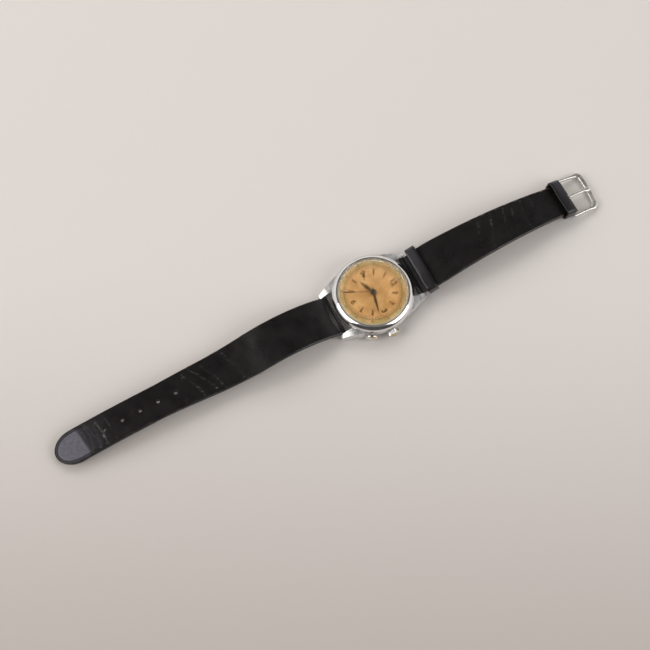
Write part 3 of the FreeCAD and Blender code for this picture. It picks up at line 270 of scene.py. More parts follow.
def dial_lacquer():
    """Salmon dial: cloudy patina, fine specks, and an olive stain towards the rim."""
    shader = Shader("dial_lacquer", (0.55, 0.32, 0.14), 0.12, 0.42)
    split = shader.node("ShaderNodeVectorMath")
    split.operation = "LENGTH"
    flat = shader.stretched((1.0, 1.0, 0.0))
    shader.join(flat, split.inputs[0])
    radius = split.outputs["Value"]
    cloud = shader.noise(170.0, 6.0, 0.62)
    salmon = shader.ramp(cloud, [(0.3, (0.54, 0.27, 0.078)), (0.5, (0.70, 0.385, 0.135)),
                                 (0.7, (0.82, 0.51, 0.215))])
    rim = shader.node("ShaderNodeMapRange")
    rim.inputs["From Min"].default_value = 11.0 * MM
    rim.inputs["From Max"].default_value = 13.4 * MM
    shader.join(radius, rim.inputs["Value"])
    blotch = shader.noise(420.0, 5.0, 0.7)
    stain = shader.math("MULTIPLY", rim.outputs["Result"],
                        shader.ramp(blotch, [(0.35, 0.0), (0.62, 0.85)]))
    stained = shader.mix(stain, salmon, (0.43, 0.36, 0.12))
    specks = shader.noise(2400.0, 2.0, 0.5)
    dirt = shader.ramp(specks, [(0.66, 0.0), (0.72, 0.7)])
    shader.feed("Base Color", shader.mix(dirt, stained, (0.20, 0.11, 0.045)))
    fine = shader.noise(3000.0, 4.0)
    shader.feed("Roughness", shader.ramp(fine, [(0.3, 0.34), (0.7, 0.55)]))
    shader.bump(blotch, 1.2e-5, 0.3)
    return shader.material


def ink(name, color):
    """Printing ink, thin in places so that it looks aged."""
    shader = Shader(name, color, 0.0, 0.5)
    patchy = shader.noise(1500.0, 4.0, 0.6)
    pale = tuple(min(1.0, channel * 1.9 + 0.06) for channel in color)
    shader.feed("Base Color", shader.ramp(patchy, [(0.42, color), (0.75, pale)]))
    shader.bump(patchy, 4e-6, 0.3)
    return shader.material


def bronze(name, metal, tones):
    """Darkened gilt for the hour and minute hands and the markers."""
    shader = Shader(name, tones[1], metal, 0.32)
    tarnish = shader.noise(900.0, 5.0, 0.65)
    shader.feed("Base Color", shader.ramp(tarnish, list(zip((0.3, 0.62, 0.8), tones))))
    shader.feed("Roughness", shader.ramp(tarnish, [(0.3, 0.45), (0.7, 0.24)]))
    shader.bump(tarnish, 4e-6, 0.3)
    return shader.material


def blued_steel():
    """A greyed hub, and a needle blued near it and browned towards the tip."""
    shader = Shader("blued_steel", (0.06, 0.05, 0.09), 0.9, 0.28)
    split = shader.node("ShaderNodeVectorMath")
    split.operation = "LENGTH"
    shader.join(shader.stretched((1.0, 1.0, 0.0)), split.inputs[0])
    spread = shader.node("ShaderNodeMapRange")
    spread.inputs["From Min"].default_value = 0.5 * MM
    spread.inputs["From Max"].default_value = 12.0 * MM
    shader.join(split.outputs["Value"], spread.inputs["Value"])
    shader.feed("Base Color", shader.ramp(spread.outputs["Result"], [
        (0.06, (0.15, 0.125, 0.10)), (0.08, (0.045, 0.03, 0.045)), (1.0, (0.14, 0.035, 0.02))]))
    flecks = shader.noise(1600.0, 4.0)
    shader.feed("Roughness", shader.ramp(flecks, [(0.3, 0.2), (0.7, 0.42)]))
    return shader.material


def acrylic():
    """Clear domed acrylic, faintly yellowed, with hair scratches in its surface."""
    shader = Shader("acrylic", (0.99, 0.975, 0.94), 0.0, 0.015, Transmission_Weight=1.0, IOR=1.49,
                    Alpha=0.32)
    turned = shader.node("ShaderNodeMapping")
    turned.inputs["Rotation"].default_value = (0.0, 0.0, 0.7)
    turned.inputs["Scale"].default_value = (1.0, 22.0, 1.0)
    shader.join(shader.place, turned.inputs["Vector"])
    scratch = shader.noise(330.0, 2.0, 0.5, vector=turned.outputs["Vector"])
    lines = shader.ramp(scratch, [(0.63, 0.0), (0.66, 1.0), (0.69, 0.0)])
    shader.feed("Roughness", shader.mix(lines, (0.012, 0.012, 0.012), (0.2, 0.2, 0.2)))
    shader.bump(lines, 3e-6, 0.35)
    return shader.material


def ruby():
    shader = Shader("ruby", (0.45, 0.02, 0.06), 0.0, 0.12, Coat_Weight=0.4)
    glow = shader.noise(2000.0, 2.0)
    shader.feed("Base Color", shader.ramp(glow, [(0.3, (0.32, 0.01, 0.04)),
                                                 (0.7, (0.62, 0.05, 0.12))]))
    return shader.material


def rubber():
    shader = Shader("rubber", (0.02, 0.02, 0.02), 0.0, 0.7)
    mottled = shader.noise(1500.0, 4.0)
    shader.feed("Base Color", shader.ramp(mottled, [(0.3, (0.012, 0.012, 0.012)),
                                                    (0.7, (0.035, 0.035, 0.035))]))
    shader.bump(mottled, 1e-5, 0.4)
    return shader.material


MATERIALS = {
    # The bezel's ledge under the crystal's edge takes a painted pale tan in place of its reflection.
    "polished_case": polished_metal("polished_case", (0.82, 0.81, 0.80), 0.07,
                                    painted_lip_within=node_box("crystal")[1].x + 0.03),
    "worn_case": polished_metal("worn_case", (0.82, 0.81, 0.79), 0.1, (0.62, 0.47, 0.20), 0.6),
    "lug_metal": polished_metal("lug_metal", (0.86, 0.85, 0.84), 0.24, metal=0.82),
    "case_steel": brushed_metal("case_steel", (0.60, 0.60, 0.61), 0.28),
    "buckle_steel": polished_metal("buckle_steel", (0.78, 0.75, 0.70), 0.24, metal=0.85),
    "crystal": acrylic(),
    "dial_face": dial_lacquer(),
    "bronze": bronze("bronze", 0.85, ((0.095, 0.045, 0.018), (0.30, 0.165, 0.065),
                                      (0.46, 0.29, 0.12))),
    "blued_steel": blued_steel(),
    "gasket": rubber(),
    "black_leather": black_leather(),
    "lining_leather": lining_leather(),
    "ruby": ruby(),
    "plated_bridges": brushed_metal("plated_bridges", (0.72, 0.66, 0.54), 0.32),
    # The main plate gets a dark red-brown spot of painted shade under the dial's aperture, so that the hole reads
    # dark as if deep in shade.
    "plate_shade_spot": brushed_metal("plate_shade_spot", (0.72, 0.66, 0.54), 0.32,
                                  (-8.0, 0.0, 1.3, (0.035, 0.008, 0.006))),
    "marker_gilt": bronze("marker_gilt", 0.35, ((0.16, 0.07, 0.02), (0.36, 0.18, 0.05),
                                                (0.50, 0.29, 0.10))),
    "brass_wheels": brushed_metal("brass_wheels", (0.78, 0.56, 0.24), 0.26),
    "movement_steel": brushed_metal("movement_steel", (0.50, 0.50, 0.52), 0.24),
    "ink_brown": ink("ink_brown", (0.10, 0.045, 0.02)),
    "ink_olive": ink("ink_olive", (0.075, 0.085, 0.03)),
    "ink_red": ink("ink_red", (0.36, 0.045, 0.02)),
}


# ---------------------------------------------------------------- mesh helpers

def piece(name, points, faces, material, body, replaced=(), smooth=True):
    """A finished mesh piece: points are in millimetres."""
    mesh = bpy.data.meshes.new(name)
    mesh.from_pydata([Vector(point) * MM for point in points], [], faces)
    mesh.validate()
    mesh.update()
    if smooth:
        mesh.polygons.foreach_set("use_smooth", [True] * len(mesh.polygons))
    item = bpy.data.objects.new(name, mesh)
    bpy.context.scene.collection.objects.link(item)
    item.data.materials.append(MATERIALS[material])
    tidy_normals(item)
    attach(item, body)
    if replaced:
        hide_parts(*replaced)
    return item


def tidy_normals(item):
    """Weld coincident points and turn every face outwards."""
    shape = bmesh.new()
    shape.from_mesh(item.data)
    bmesh.ops.remove_doubles(shape, verts=shape.verts, dist=1e-7)
    bmesh.ops.recalc_face_normals(shape, faces=shape.faces)
    shape.to_mesh(item.data)
    shape.free()


def sharpen(item, degrees):
    """Keep edges sharper than an angle as hard shading edges."""
    item.data.set_sharp_from_angle(angle=math.radians(degrees))


def grid_faces(rows, columns, close_rows=False, close_columns=False, start=0):
    """Quads between successive rows of points."""
    faces = []
    for row in range(rows if close_rows else rows - 1):
        for column in range(columns if close_columns else columns - 1):
            after = (row + 1) % rows
            beside = (column + 1) % columns
            faces.append((start + row * columns + column, start + row * columns + beside,
                          start + after * columns + beside, start + after * columns + column))
    return faces


def bend_points(first, last, radius, count):
    """Points on an arc from first to last in a flat profile; positive turns left."""
    first, last = Vector(first), Vector(last)
    chord = last - first
    half = chord.length / 2
    rise = math.sqrt(max(radius ** 2 - half ** 2, 0.0))
    side = Vector((-chord.y, chord.x)).normalized() * (rise if radius > 0 else -rise)
    centre = (first + last) / 2 + side
    start = math.atan2(first.y - centre.y, first.x - centre.x)
    end = math.atan2(last.y - centre.y, last.x - centre.x)
    turn = end - start
    if radius > 0 and turn < 0:
        turn += 2 * math.pi
    if radius < 0 and turn > 0:
        turn -= 2 * math.pi
    step = turn / count
    return [(centre.x + abs(radius) * math.cos(start + step * number),
             centre.y + abs(radius) * math.sin(start + step * number))
            for number in range(1, count)]


def rounded(profile, radius, count=4):
    """Round every corner of a closed profile of (radius, height) points."""
    result = []
    total = len(profile)
    for number in range(total):
        before = Vector(profile[number - 1])
        corner = Vector(profile[number])
        after = Vector(profile[(number + 1) % total])
        reach = min(radius, (before - corner).length * 0.45, (after - corner).length * 0.45)
        start = corner + (before - corner).normalized() * reach
        end = corner + (after - corner).normalized() * reach
        for step in range(count + 1):
            share = step / count
            result.append(tuple(start.lerp(corner, share).lerp(corner.lerp(end, share), share)))
    return result


def lathe_points(profile, segments, ripple=None):
    """Rings of a profile turned about Z.  ripple(angle, radius) changes the radius."""
    points = []
    for number in range(segments):
        angle = 2 * math.pi * number / segments
        for radius, height in profile:
            if ripple is not None:
                radius = ripple(angle, radius)
            points.append((radius * math.cos(angle), radius * math.sin(angle), height))
    return points


def lathe(name, profile, segments, material, body, replaced, place=None, ripple=None,
          closed=True):
    """A turned piece.  Where the profile is open, its ends lie on the axis."""
    points = lathe_points(profile, segments, ripple)
    faces = grid_faces(segments, len(profile), True, closed)
    if place is not None:
        points = [place @ Vector(point) for point in points]
    return piece(name, points, faces, material, body, replaced)


def sweep(centres, frames, section, closed=False, sizes=None):
    """Points and faces of a section carried along a path.

    frames holds (side, up) vectors for each centre; section holds (across, height) points.
    """
    points = []
    for number, (centre, (side, up)) in enumerate(zip(centres, frames)):
        wide, tall = sizes[number] if sizes else (1.0, 1.0)
        for across, height in section:
            points.append(centre + side * across * wide + up * height * tall)
    rows, columns = len(centres), len(section)
    faces = grid_faces(rows, columns, closed, True)
    if not closed:
        faces.append(tuple(range(columns)))
        faces.append(tuple((rows - 1) * columns + column for column in reversed(range(columns))))
    return points, faces


def oval(power=2.0, count=20):
    """A unit oval section; a higher power is squarer."""
    points = []
    for number in range(count):
        angle = 2 * math.pi * number / count
        cosine, sine = math.cos(angle), math.sin(angle)
        points.append((math.copysign(abs(cosine) ** (2 / power), cosine),
                       math.copysign(abs(sine) ** (2 / power), sine)))
    return points


def out_along(angle, height):
    """The placement that lays a piece's Z axis outwards from the case centre."""
    turned_out = Matrix.Rotation(math.radians(angle), 4, "Z") @ Matrix.Rotation(
        math.radians(90), 4, "Y")
    return Matrix.Translation((0, 0, height)) @ turned_out


def merge(item, points, faces):
    """Add a separate shell, in millimetres, to a piece."""
    shape = bmesh.new()
    shape.from_mesh(item.data)
    added = [shape.verts.new(Vector(point) * MM) for point in points]
    for face in faces:
        shape.faces.new([added[index] for index in face]).smooth = True
    bmesh.ops.recalc_face_normals(shape, faces=shape.faces)
    shape.to_mesh(item.data)
    shape.free()


# ---------------------------------------------------------------- strap path

class ArcPath:
    """A chain of arcs in the YZ plane, which a strap's middle line follows."""

    def __init__(self, start, degrees, bends):
        self.spans = []
        point, angle = start, math.radians(degrees)
        for radius, turn in bends:
            self.spans.append((point, angle, radius, math.radians(turn)))
            point, angle = self.ahead(self.spans[-1], 1.0)
        self.length = sum(span[2] * abs(span[3]) for span in self.spans)
        self.end = point

    @staticmethod
    def ahead(span, share):
        """The point and direction at a share of one arc."""
        (y, z), angle, radius, turn = span
        sign = 1 if turn > 0 else -1
        later = angle + turn * share
        y += sign * radius * (math.sin(later) - math.sin(angle))
        z -= sign * radius * (math.cos(later) - math.cos(angle))
        return (y, z), later

    def at(self, distance):
        """The point and direction at a distance along the path."""
        for span in self.spans:
            length = span[2] * abs(span[3])
            if distance <= length:
                return self.ahead(span, distance / length)
            distance -= length
        return self.ahead(self.spans[-1], 1.0)


BAR = joint_place("strap_short_swing")
BUCKLE = joint_place("buckle_frame_swing")
HALF_THICK = 1.1
SPLIT = -0.3
WIDE = 9.0
TAIL = 7.15
LONG_BENDS = ((46.0, -46.0), (75.0, 19.0), (266.0, -14.65))
LONG_START = 31.0
SHORT_RADIUS = 115.0
BULGE = 9.5
LONG_TAPER = (56.7, 98.7)
SHORT_TAPER = (30.7, 88.0)
LUG_CLEARANCE = (20.8, 23.8)
TIP_LENGTH = 9.5
ROLL_HOLE, ROLL_OUTER = 0.85, 1.4
HOLE_FIRST, HOLE_PITCH, HOLE_RADIUS, HOLES = 92.0, 8.1, 0.85, 5


def short_strap_path():
    """One arc from the spring bar to the buckle's bar."""
    chord = Vector((BUCKLE.y - BAR.y, BUCKLE.z - BAR.z))
    half = math.asin(chord.length / 2 / SHORT_RADIUS)
    tilt = math.atan2(chord.y, chord.x)
    return ArcPath((BAR.y, BAR.z), math.degrees(tilt + half),
                   ((SHORT_RADIUS, -2 * math.degrees(half)),))


LONG_PATH = ArcPath((BAR.y, BAR.z), LONG_START, LONG_BENDS)
SHORT_PATH = short_strap_path()


def steps(low, high, start, end, value):
    """A straight change from start to end as value runs from low to high."""
    share = min(max((value - low) / (high - low), 0.0), 1.0)
    return start + (end - start) * share


def long_half_width(y):
    """Half the long strap's width at a distance from the case centre."""
    reach = LONG_PATH.end[0]
    width = steps(*LONG_TAPER, WIDE, TAIL, y)
    if y > reach - TIP_LENGTH:
        share = (y - (reach - TIP_LENGTH)) / TIP_LENGTH
        width *= math.sqrt(max(1.0 - share ** 2.1, 0.0))
    return width


def short_half_width(y):
    """Half the short strap's width: it widens past the lugs, then tapers to the buckle."""
    if y < SHORT_TAPER[0]:
        return steps(*LUG_CLEARANCE, WIDE, BULGE, y)
    return steps(*SHORT_TAPER, BULGE, TAIL, y)


def groove(distance, width):
    """A smooth groove's depth share at a distance from its middle."""
    return math.exp(-(distance / width) ** 2)


# Creases: distance along the strap from the spring bar, lean across it, depth and width.
LONG_CREASES = ((108.7, 0.06, 0.2, 0.4), (104.4, 0.1, 0.07, 0.3), (111.0, -0.08, 0.11, 0.28),
                (112.6, 0.1, 0.09, 0.26), (114.3, -0.05, 0.11, 0.3), (116.1, 0.12, 0.09, 0.3),
                (118.0, 0.05, 0.07, 0.35), (62.0, 0.55, 0.12, 0.4), (66.8, 0.4, 0.09, 0.45),
                (58.2, 0.45, 0.08, 0.4), (70.8, -0.3, 0.06, 0.35), (48.2, 0.3, 0.06, 0.5))
SHORT_CREASES = ((54.6, -0.12, 0.13, 0.4), (45.2, -0.3, 0.08, 0.35), (38.6, -0.35, 0.1, 0.4),
                 (49.8, -0.2, 0.06, 0.4), (33.2, -0.25, 0.05, 0.5), (60.2, 0.1, 0.05, 0.4),
                 (18.0, 0.2, 0.04, 0.6))


def crease_depth(creases, distance, across):
    """How deep the creases are at a point: each wanders and fades across the strap."""
    depth = 0.0
    for place, lean, deep, width in creases:
        wander = 0.7 * noise.noise(Vector((across * 0.22, place, 0.0)))
        offset = distance - place - lean * across - wander - 0.012 * across * across
        fade = 0.55 + 0.45 * noise.noise(Vector((across * 0.3 + 7.0, place * 1.7, 1.0)))
        depth += deep * fade * groove(offset, width)
    return depth


def strap_rows(start, end, spacing):
    """Distances along a strap: even, then closer together in the last 9 mm."""
    rows = []
    distance = start
    while distance < end:
        rows.append(distance)
        left = end - distance
        distance += spacing if left > 9.0 else max(spacing * left / 9.0, 0.02)
    rows.append(end)
    return rows


EDGE_ROUND = 0.42
CREASE_MARGIN = 0.8
WORN_MARGIN = 0.9
CREASE_WEAR = 5.0


def strap_shell(path, start, end, half_width, low, high, creases, lined, spacing=0.42,
                columns=61, seed=0.0, inset=0.0, rub_and_sheen=1.0):
    """Points, faces, wear and row distances of one leather layer, before it is turned.

    creases is a table like LONG_CREASES; lined(distance, across) gives a pressed line's depth;
    rubbed scales the wear along the edges.
    """
    rows = strap_rows(start, end, spacing)
    points, wear = [], []
    thick = high - low
    for distance in rows:
        (y, z), angle = path.at(distance)
        half = max(half_width(y) - inset, 0.03)
        up = Vector((0.0, -math.sin(angle), math.cos(angle)))
        centre = Vector((0.0, y, z))
        edge_round = min(EDGE_ROUND, thick * 0.45, half * 0.8)
        top, bottom = [], []
        for column in range(columns):
            share = -1.0 + 2.0 * column / (columns - 1)
            share = math.copysign(abs(share) ** 0.86, share)
            across = share * half
            margin = half - abs(across)
            drop = 0.0
            if margin < edge_round:
                drop = edge_round - math.sqrt(max(edge_round ** 2 - (edge_round - margin) ** 2,
                                                  0.0))
            height = high - drop
            fold = crease_depth(creases, distance, across)
            if creases:
                height -= fold * min(margin / CREASE_MARGIN, 1.0)
                height += 0.035 * noise.noise(Vector((across * 0.35, distance * 0.22, seed)))
                height += 0.012 * noise.noise(Vector((across * 1.3, distance * 1.1, seed)))
            if lined is not None:
                height -= lined(distance, across)
            lower = low + (drop if not creases else drop * 0.35)
            top.append(centre + Vector((across, 0, 0)) + up * height)
            bottom.append(centre + Vector((across, 0, 0)) + up * lower)
            edge_wear = rub_and_sheen * (1.0 - margin / WORN_MARGIN)
            wear.append(max(0.0, edge_wear, min(CREASE_WEAR * fold, 0.9)))
        points += top + list(reversed(bottom))
        wear += [0.0] * columns
    count = 2 * columns
    faces = grid_faces(len(rows), count, False, True)
    faces.append(tuple(range(count)))
    faces.append(tuple((len(rows) - 1) * count + index for index in reversed(range(count))))
    return points, faces, wear, rows


def roll_shell(y, z, inner, outer, half, slot_half=0.0):
    """The leather turned round a bar: one tube, or two with a slot between them."""
    points, faces = [], []
    spans = [(-half, half)] if slot_half == 0 else [(-half, -slot_half), (slot_half, half)]
    for first, last in spans:
        ring = rounded([(inner, first), (outer, first), (outer, last), (inner, last)], 0.22, 3)
        start = len(points)
        for number in range(48):
            angle = 2 * math.pi * number / 48
            for radius, x in ring:
                points.append(Vector((x, y + radius * math.cos(angle),
                                      z + radius * math.sin(angle))))
        faces += grid_faces(48, len(ring), True, True, start)
    return points, faces


def strap_piece(name, points, faces, wear, roll, material, body, replaced, turned, holes=(),
                painted_sheen=None):
    """One strap layer as a piece, with its roll and its holes."""
    if turned:
        points = [Vector((-point[0], -point[1], point[2])) for point in points]
    mesh = bpy.data.meshes.new(name)
    mesh.from_pydata([Vector(point) * MM for point in points], [], faces)
    # The wear layer marks real scuffs; the second layer is the painted sheen, zero where none is given.
    for layer_name, values in (("wear", wear), ("painted_sheen", painted_sheen or [0.0] * len(wear))):
        layer = mesh.attributes.new(layer_name, "FLOAT", "POINT")
        layer.data.foreach_set("value", values)
    item = bpy.data.objects.new(name, mesh)
    bpy.context.scene.collection.objects.link(item)
    item.data.materials.append(MATERIALS[material])
    tidy_normals(item)
    if holes:
        punch(item, holes, turned)
    if roll is not None:
        roll_points, roll_faces = roll
        if turned:
            roll_points = [Vector((-point[0], -point[1], point[2])) for point in roll_points]
        merge(item, roll_points, roll_faces)
    item.data.polygons.foreach_set("use_smooth", [True] * len(item.data.polygons))
    sharpen(item, 50)
    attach(item, body)
    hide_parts(*replaced)
    return item


def punch(item, places, turned):
    """Cut round holes through a strap layer."""
    cutter_points, cutter_faces = [], []
    sides = 28
    for y, z, angle in places:
        start = len(cutter_points)
        up = Vector((0.0, -math.sin(angle), math.cos(angle)))
        along = Vector((0.0, math.cos(angle), math.sin(angle)))
        for end in (-3.0, 3.0):
            for side in range(sides):
                turn = 2 * math.pi * side / sides
                point = (Vector((0, y, z)) + up * end + along * HOLE_RADIUS * math.sin(turn)
                         + Vector((HOLE_RADIUS * math.cos(turn), 0, 0)))
                if turned:
                    point = Vector((-point.x, -point.y, point.z))
                cutter_points.append(point * MM)
        cutter_faces += grid_faces(2, sides, False, True, start)
        cutter_faces.append(tuple(range(start, start + sides)))
        cutter_faces.append(tuple(range(start + 2 * sides - 1, start + sides - 1, -1)))
    mesh = bpy.data.meshes.new("punch")
    mesh.from_pydata(cutter_points, [], cutter_faces)
    cutter = bpy.data.objects.new("punch", mesh)
    bpy.context.scene.collection.objects.link(cutter)
    tidy_normals(cutter)
    modifier = item.modifiers.new("holes", "BOOLEAN")
    modifier.operation = "DIFFERENCE"
    modifier.solver = "EXACT"
    modifier.object = cutter
    bake_modifiers(item)
    bpy.data.objects.remove(cutter)
    bpy.data.meshes.remove(mesh)


def bake_modifiers(item):
    """Replace a piece's mesh with its evaluated one and drop its modifiers."""
    bpy.context.view_layer.update()
    graph = bpy.context.evaluated_depsgraph_get()
    final = bpy.data.meshes.new_from_object(item.evaluated_get(graph))
    old = item.data
    item.modifiers.clear()
    item.data = final
    bpy.data.meshes.remove(old)


# ---------------------------------------------------------------- straps

LINE_INSET = 1.35
LINE_FROM = 108.0


def long_edge():
    """Points (distance, half width) along the long strap's outer edge."""
    total = LONG_PATH.length
    edge = []
    for number in range(500):
        distance = 70.0 + (total - 70.0) * number / 499
        (y, _), _ = LONG_PATH.at(distance)
        edge.append((distance, long_half_width(y)))
    return np.array(edge)


LONG_EDGE = long_edge()


def edge_gap(distance, across):
    """How far a point of the long strap lies from its outer edge."""
    return np.hypot(LONG_EDGE[:, 0] - distance, LONG_EDGE[:, 1] - abs(across)).min()


def tip_line():
    """The pressed line's depth on the long strap: it follows the rounded tip's edge."""

    def depth(distance, across):
        if distance < LINE_FROM:
            return 0.0
        gap = edge_gap(distance, across)
        fade = steps(LINE_FROM, LINE_FROM + 8.0, 0.0, 1.0, distance)
        return 0.17 * fade * groove(gap - LINE_INSET, 0.2)

    return depth


TONGUE_SLOT = 1.0


def make_long_strap():
    reach = LONG_PATH.length
    places = []
    for number in range(HOLES):
        y = HOLE_FIRST + number * HOLE_PITCH
        low, high = 0.0, reach
        for _ in range(40):
            middle = (low + high) / 2
            if LONG_PATH.at(middle)[0][0] < y:
                low = middle
            else:
                high = middle
        (py, pz), angle = LONG_PATH.at(low)
        places.append((py, pz, angle))
    roll = roll_shell(BAR.y, BAR.z, ROLL_HOLE, ROLL_OUTER, WIDE - 0.03)
    points, faces, wear, rows = strap_shell(LONG_PATH, 1.0, reach, long_half_width, SPLIT,
                                         HALF_THICK, LONG_CREASES, tip_line(), seed=3.0,
                                            rub_and_sheen=0.2)
    columns = len(wear) // len(rows)
    # Painted sheen on the tail: the panel inside the pressed line and, paler, a band between the line and the edge
    # are painted blue-grey as a reflection of the lights, strong over the last 13 mm and faint up to 25 mm from
    # the tip.
    painted_sheen = []
    for index, point in enumerate(points):
        left = reach - rows[index // columns]
        gap = edge_gap(reach - left, point.x)
        patch = 0.5 * noise.noise(Vector((point.x * 0.8, left * 0.8, 2.0)))
        inside = steps(LINE_INSET, LINE_INSET + 0.5, 0.0, 1.0, gap)
        rim = steps(0.5, 0.9, 0.0, 0.45, gap) * steps(LINE_INSET - 0.35, LINE_INSET, 1.0, 0.0, gap)
        start = steps(12.2, 13.4, 0.9, 0.12, left + 0.12 * point.x)
        far = steps(13.4, 25.0, 1.0, 0.0, left)
        painted_sheen.append(max(0.0, (inside + rim) * start * far * (0.9 + 0.5 * patch)))
    strap_piece("strap_long_upper_leather", points, faces, wear, roll, "black_leather",
                "strap_long", ("strap_long_upper",), True, places, painted_sheen)
    points, faces, wear, _ = strap_shell(LONG_PATH, 1.45, reach - 0.12, long_half_width,
                                         -HALF_THICK, SPLIT, (), None, 0.8, 31, inset=0.12)
    strap_piece("strap_long_lining_leather", points, faces, wear, None, "lining_leather",
                "strap_long", ("strap_long_lining",), True, places)


def make_short_strap():
    reach = SHORT_PATH.length
    first = roll_shell(BAR.y, BAR.z, ROLL_HOLE, ROLL_OUTER, WIDE - 0.03)
    second = roll_shell(BUCKLE.y, BUCKLE.z, 0.7, 1.25, TAIL, TONGUE_SLOT)
    shift = len(first[0])
    roll = (first[0] + second[0],
            first[1] + [tuple(index + shift for index in face) for face in second[1]])
    points, faces, wear, rows = strap_shell(SHORT_PATH, 1.0, reach - 2.9, short_half_width,
                                            SPLIT, HALF_THICK, SHORT_CREASES, None, seed=9.0)
    scaled = []
    columns = len(wear) // len(rows)
    for index, amount in enumerate(wear):
        distance = rows[index // columns]
        column = index % columns
        left = column < columns // 4
        scaled.append(amount * (1.0 if left and distance > 26.0 else 0.3))
    strap_piece("strap_short_upper_leather", points, faces, scaled, roll, "black_leather",
                "strap_short", ("strap_short_upper",), False)
    for side in (-1, 1):
        make_buckle_ear(side, reach)
    points, faces, wear, _ = strap_shell(SHORT_PATH, 1.45, reach - 2.9, short_half_width,
                                         -HALF_THICK, SPLIT, (), None, 0.8, 31, inset=0.12)
    strap_piece("strap_short_lining_leather", points, faces, wear, None, "lining_leather",
                "strap_short", ("strap_short_lining",), False)


def make_buckle_ear(side, reach):
    """The short strap's end beside the tongue slot."""
    inner, outer = TONGUE_SLOT, TAIL
    middle, half = (inner + outer) / 2 * side, (outer - inner) / 2
    points, faces, _, _ = strap_shell(SHORT_PATH, reach - 3.3, reach - 0.9,
                                      lambda y: half, -HALF_THICK * 0.95, HALF_THICK * 0.98,
                                      (), None, 0.4, 15)
    points = [point + Vector((middle, 0, 0)) for point in points]
    item = piece("strap_ear_%s" % ("left" if side < 0 else "right"), points, faces,
                 "black_leather", "strap_short", ())
    sharpen(item, 50)


# ---------------------------------------------------------------- keepers

SHORT_END = SHORT_PATH.length
KEEPERS = {"sliding_keeper": (2.9, 7.3, BULGE + 0.25, "sliding_keeper", 0.35),
           "fixed_keeper": (SHORT_END - 6.1, SHORT_END - 1.5, TAIL + 0.35, "strap_short", 0.5)}
KEEPER_WALL = 0.85
KEEPER_ROOM = 3 * HALF_THICK + 0.25


def make_keepers():
    """Leather loops: a strip with rounded edges carried round a rounded rectangle."""
    gap = 0.12
    for name, (first, last, inner, body, sag) in KEEPERS.items():
        (y, z), angle = SHORT_PATH.at((first + last) / 2)
        along = Vector((0.0, math.cos(angle), math.sin(angle)))
        up = Vector((0.0, -math.sin(angle), math.cos(angle)))
        low, high = -HALF_THICK - gap - KEEPER_WALL / 2, KEEPER_ROOM + KEEPER_WALL / 2
        side = inner + KEEPER_WALL / 2
        corner = 1.5
        loop = []
        for cx, cz, start in ((side - corner, high - corner, 0.0),
                              (-side + corner, high - corner, 0.5),
                              (-side + corner, low + corner, 1.0),
                              (side - corner, low + corner, 1.5)):
            for step in range(9):
                turn = math.pi * (start + 0.5 * step / 8)
                loop.append((cx + corner * math.cos(turn), cz + corner * math.sin(turn)))
        dense = []
        for number, (x, height) in enumerate(loop):
            other = loop[(number + 1) % len(loop)]
            reach = math.hypot(other[0] - x, other[1] - height)
            parts = max(1, round(reach / 0.7))
            for step in range(parts):
                share = step / parts
                dense.append((x + (other[0] - x) * share, height + (other[1] - height) * share))
        half = (last - first) / 2
        strip = rounded([(-half, -KEEPER_WALL / 2), (half, -KEEPER_WALL / 2),
                         (half, KEEPER_WALL / 2), (-half, KEEPER_WALL / 2)], 0.3, 3)
        strip = widen(strip, 6)
        points, painted_sheen = [], []
        for number, (x, height) in enumerate(dense):
            before, after = dense[number - 1], dense[(number + 1) % len(dense)]
            tangent = Vector((after[0] - before[0], after[1] - before[1])).normalized()
            normal = Vector((tangent.y, -tangent.x))
            top = steps(0.0, high, 0.0, 1.0, height)
            dip = sag * top * math.cos(min(abs(x) / side, 1.0) * math.pi / 2) ** 0.7
            crown = 0.10 * top
            for offset, thick in strip:
                lift = thick + crown * (1 - (offset / half) ** 2) * (1 if thick > 0 else 0.4)
                px = x + normal.x * lift
                pz = height + normal.y * lift - dip
                px += 0.05 * noise.noise(Vector((offset * 0.8, number * 0.25, 4.0)))
                pz += 0.05 * noise.noise(Vector((offset * 0.8, number * 0.25, 9.0)))
                points.append(Vector((px, y, z)) + along * offset + up * pz)
                # Painted sheen: the loop's top is painted blue-grey, strongest on its -X side, to stand in for the
                # lights' reflection; the underside takes a faint even amount.
                glow = steps(-side, 0.4 * side, 0.24, 0.04, x) * (1 - (offset / half) ** 2)
                painted_sheen.append(glow if height > 0 else 0.05)
        faces = grid_faces(len(dense), len(strip), True, True)
        item = piece(name + "_loop", points, faces, "black_leather", body, (name,))
        sharpen(item, 60)
        layer = item.data.attributes.new("painted_sheen", "FLOAT", "POINT")
        layer.data.foreach_set("value", painted_sheen)


def widen(profile, parts):
    """Add points on the long sides of a closed profile."""
    result = []
    for number, point in enumerate(profile):
        other = profile[(number + 1) % len(profile)]
        reach = math.hypot(other[0] - point[0], other[1] - point[1])
        count = parts if reach > 1.0 else 1
        for step in range(count):
            share = step / count
            result.append((point[0] + (other[0] - point[0]) * share,
                           point[1] + (other[1] - point[1]) * share))
    return result


# ---------------------------------------------------------------- buckle

BUCKLE_TILT = -7.6
BUCKLE_YAW = -2.5
BUCKLE_REACH = 11.4


def buckle_place():
    """The buckle lies tilted down to the table and turned a little by the play in its loop."""
    return (Matrix.Translation(BUCKLE) @ Matrix.Rotation(math.radians(BUCKLE_YAW), 4, "Z")
            @ Matrix.Rotation(math.radians(BUCKLE_TILT), 4, "X"))


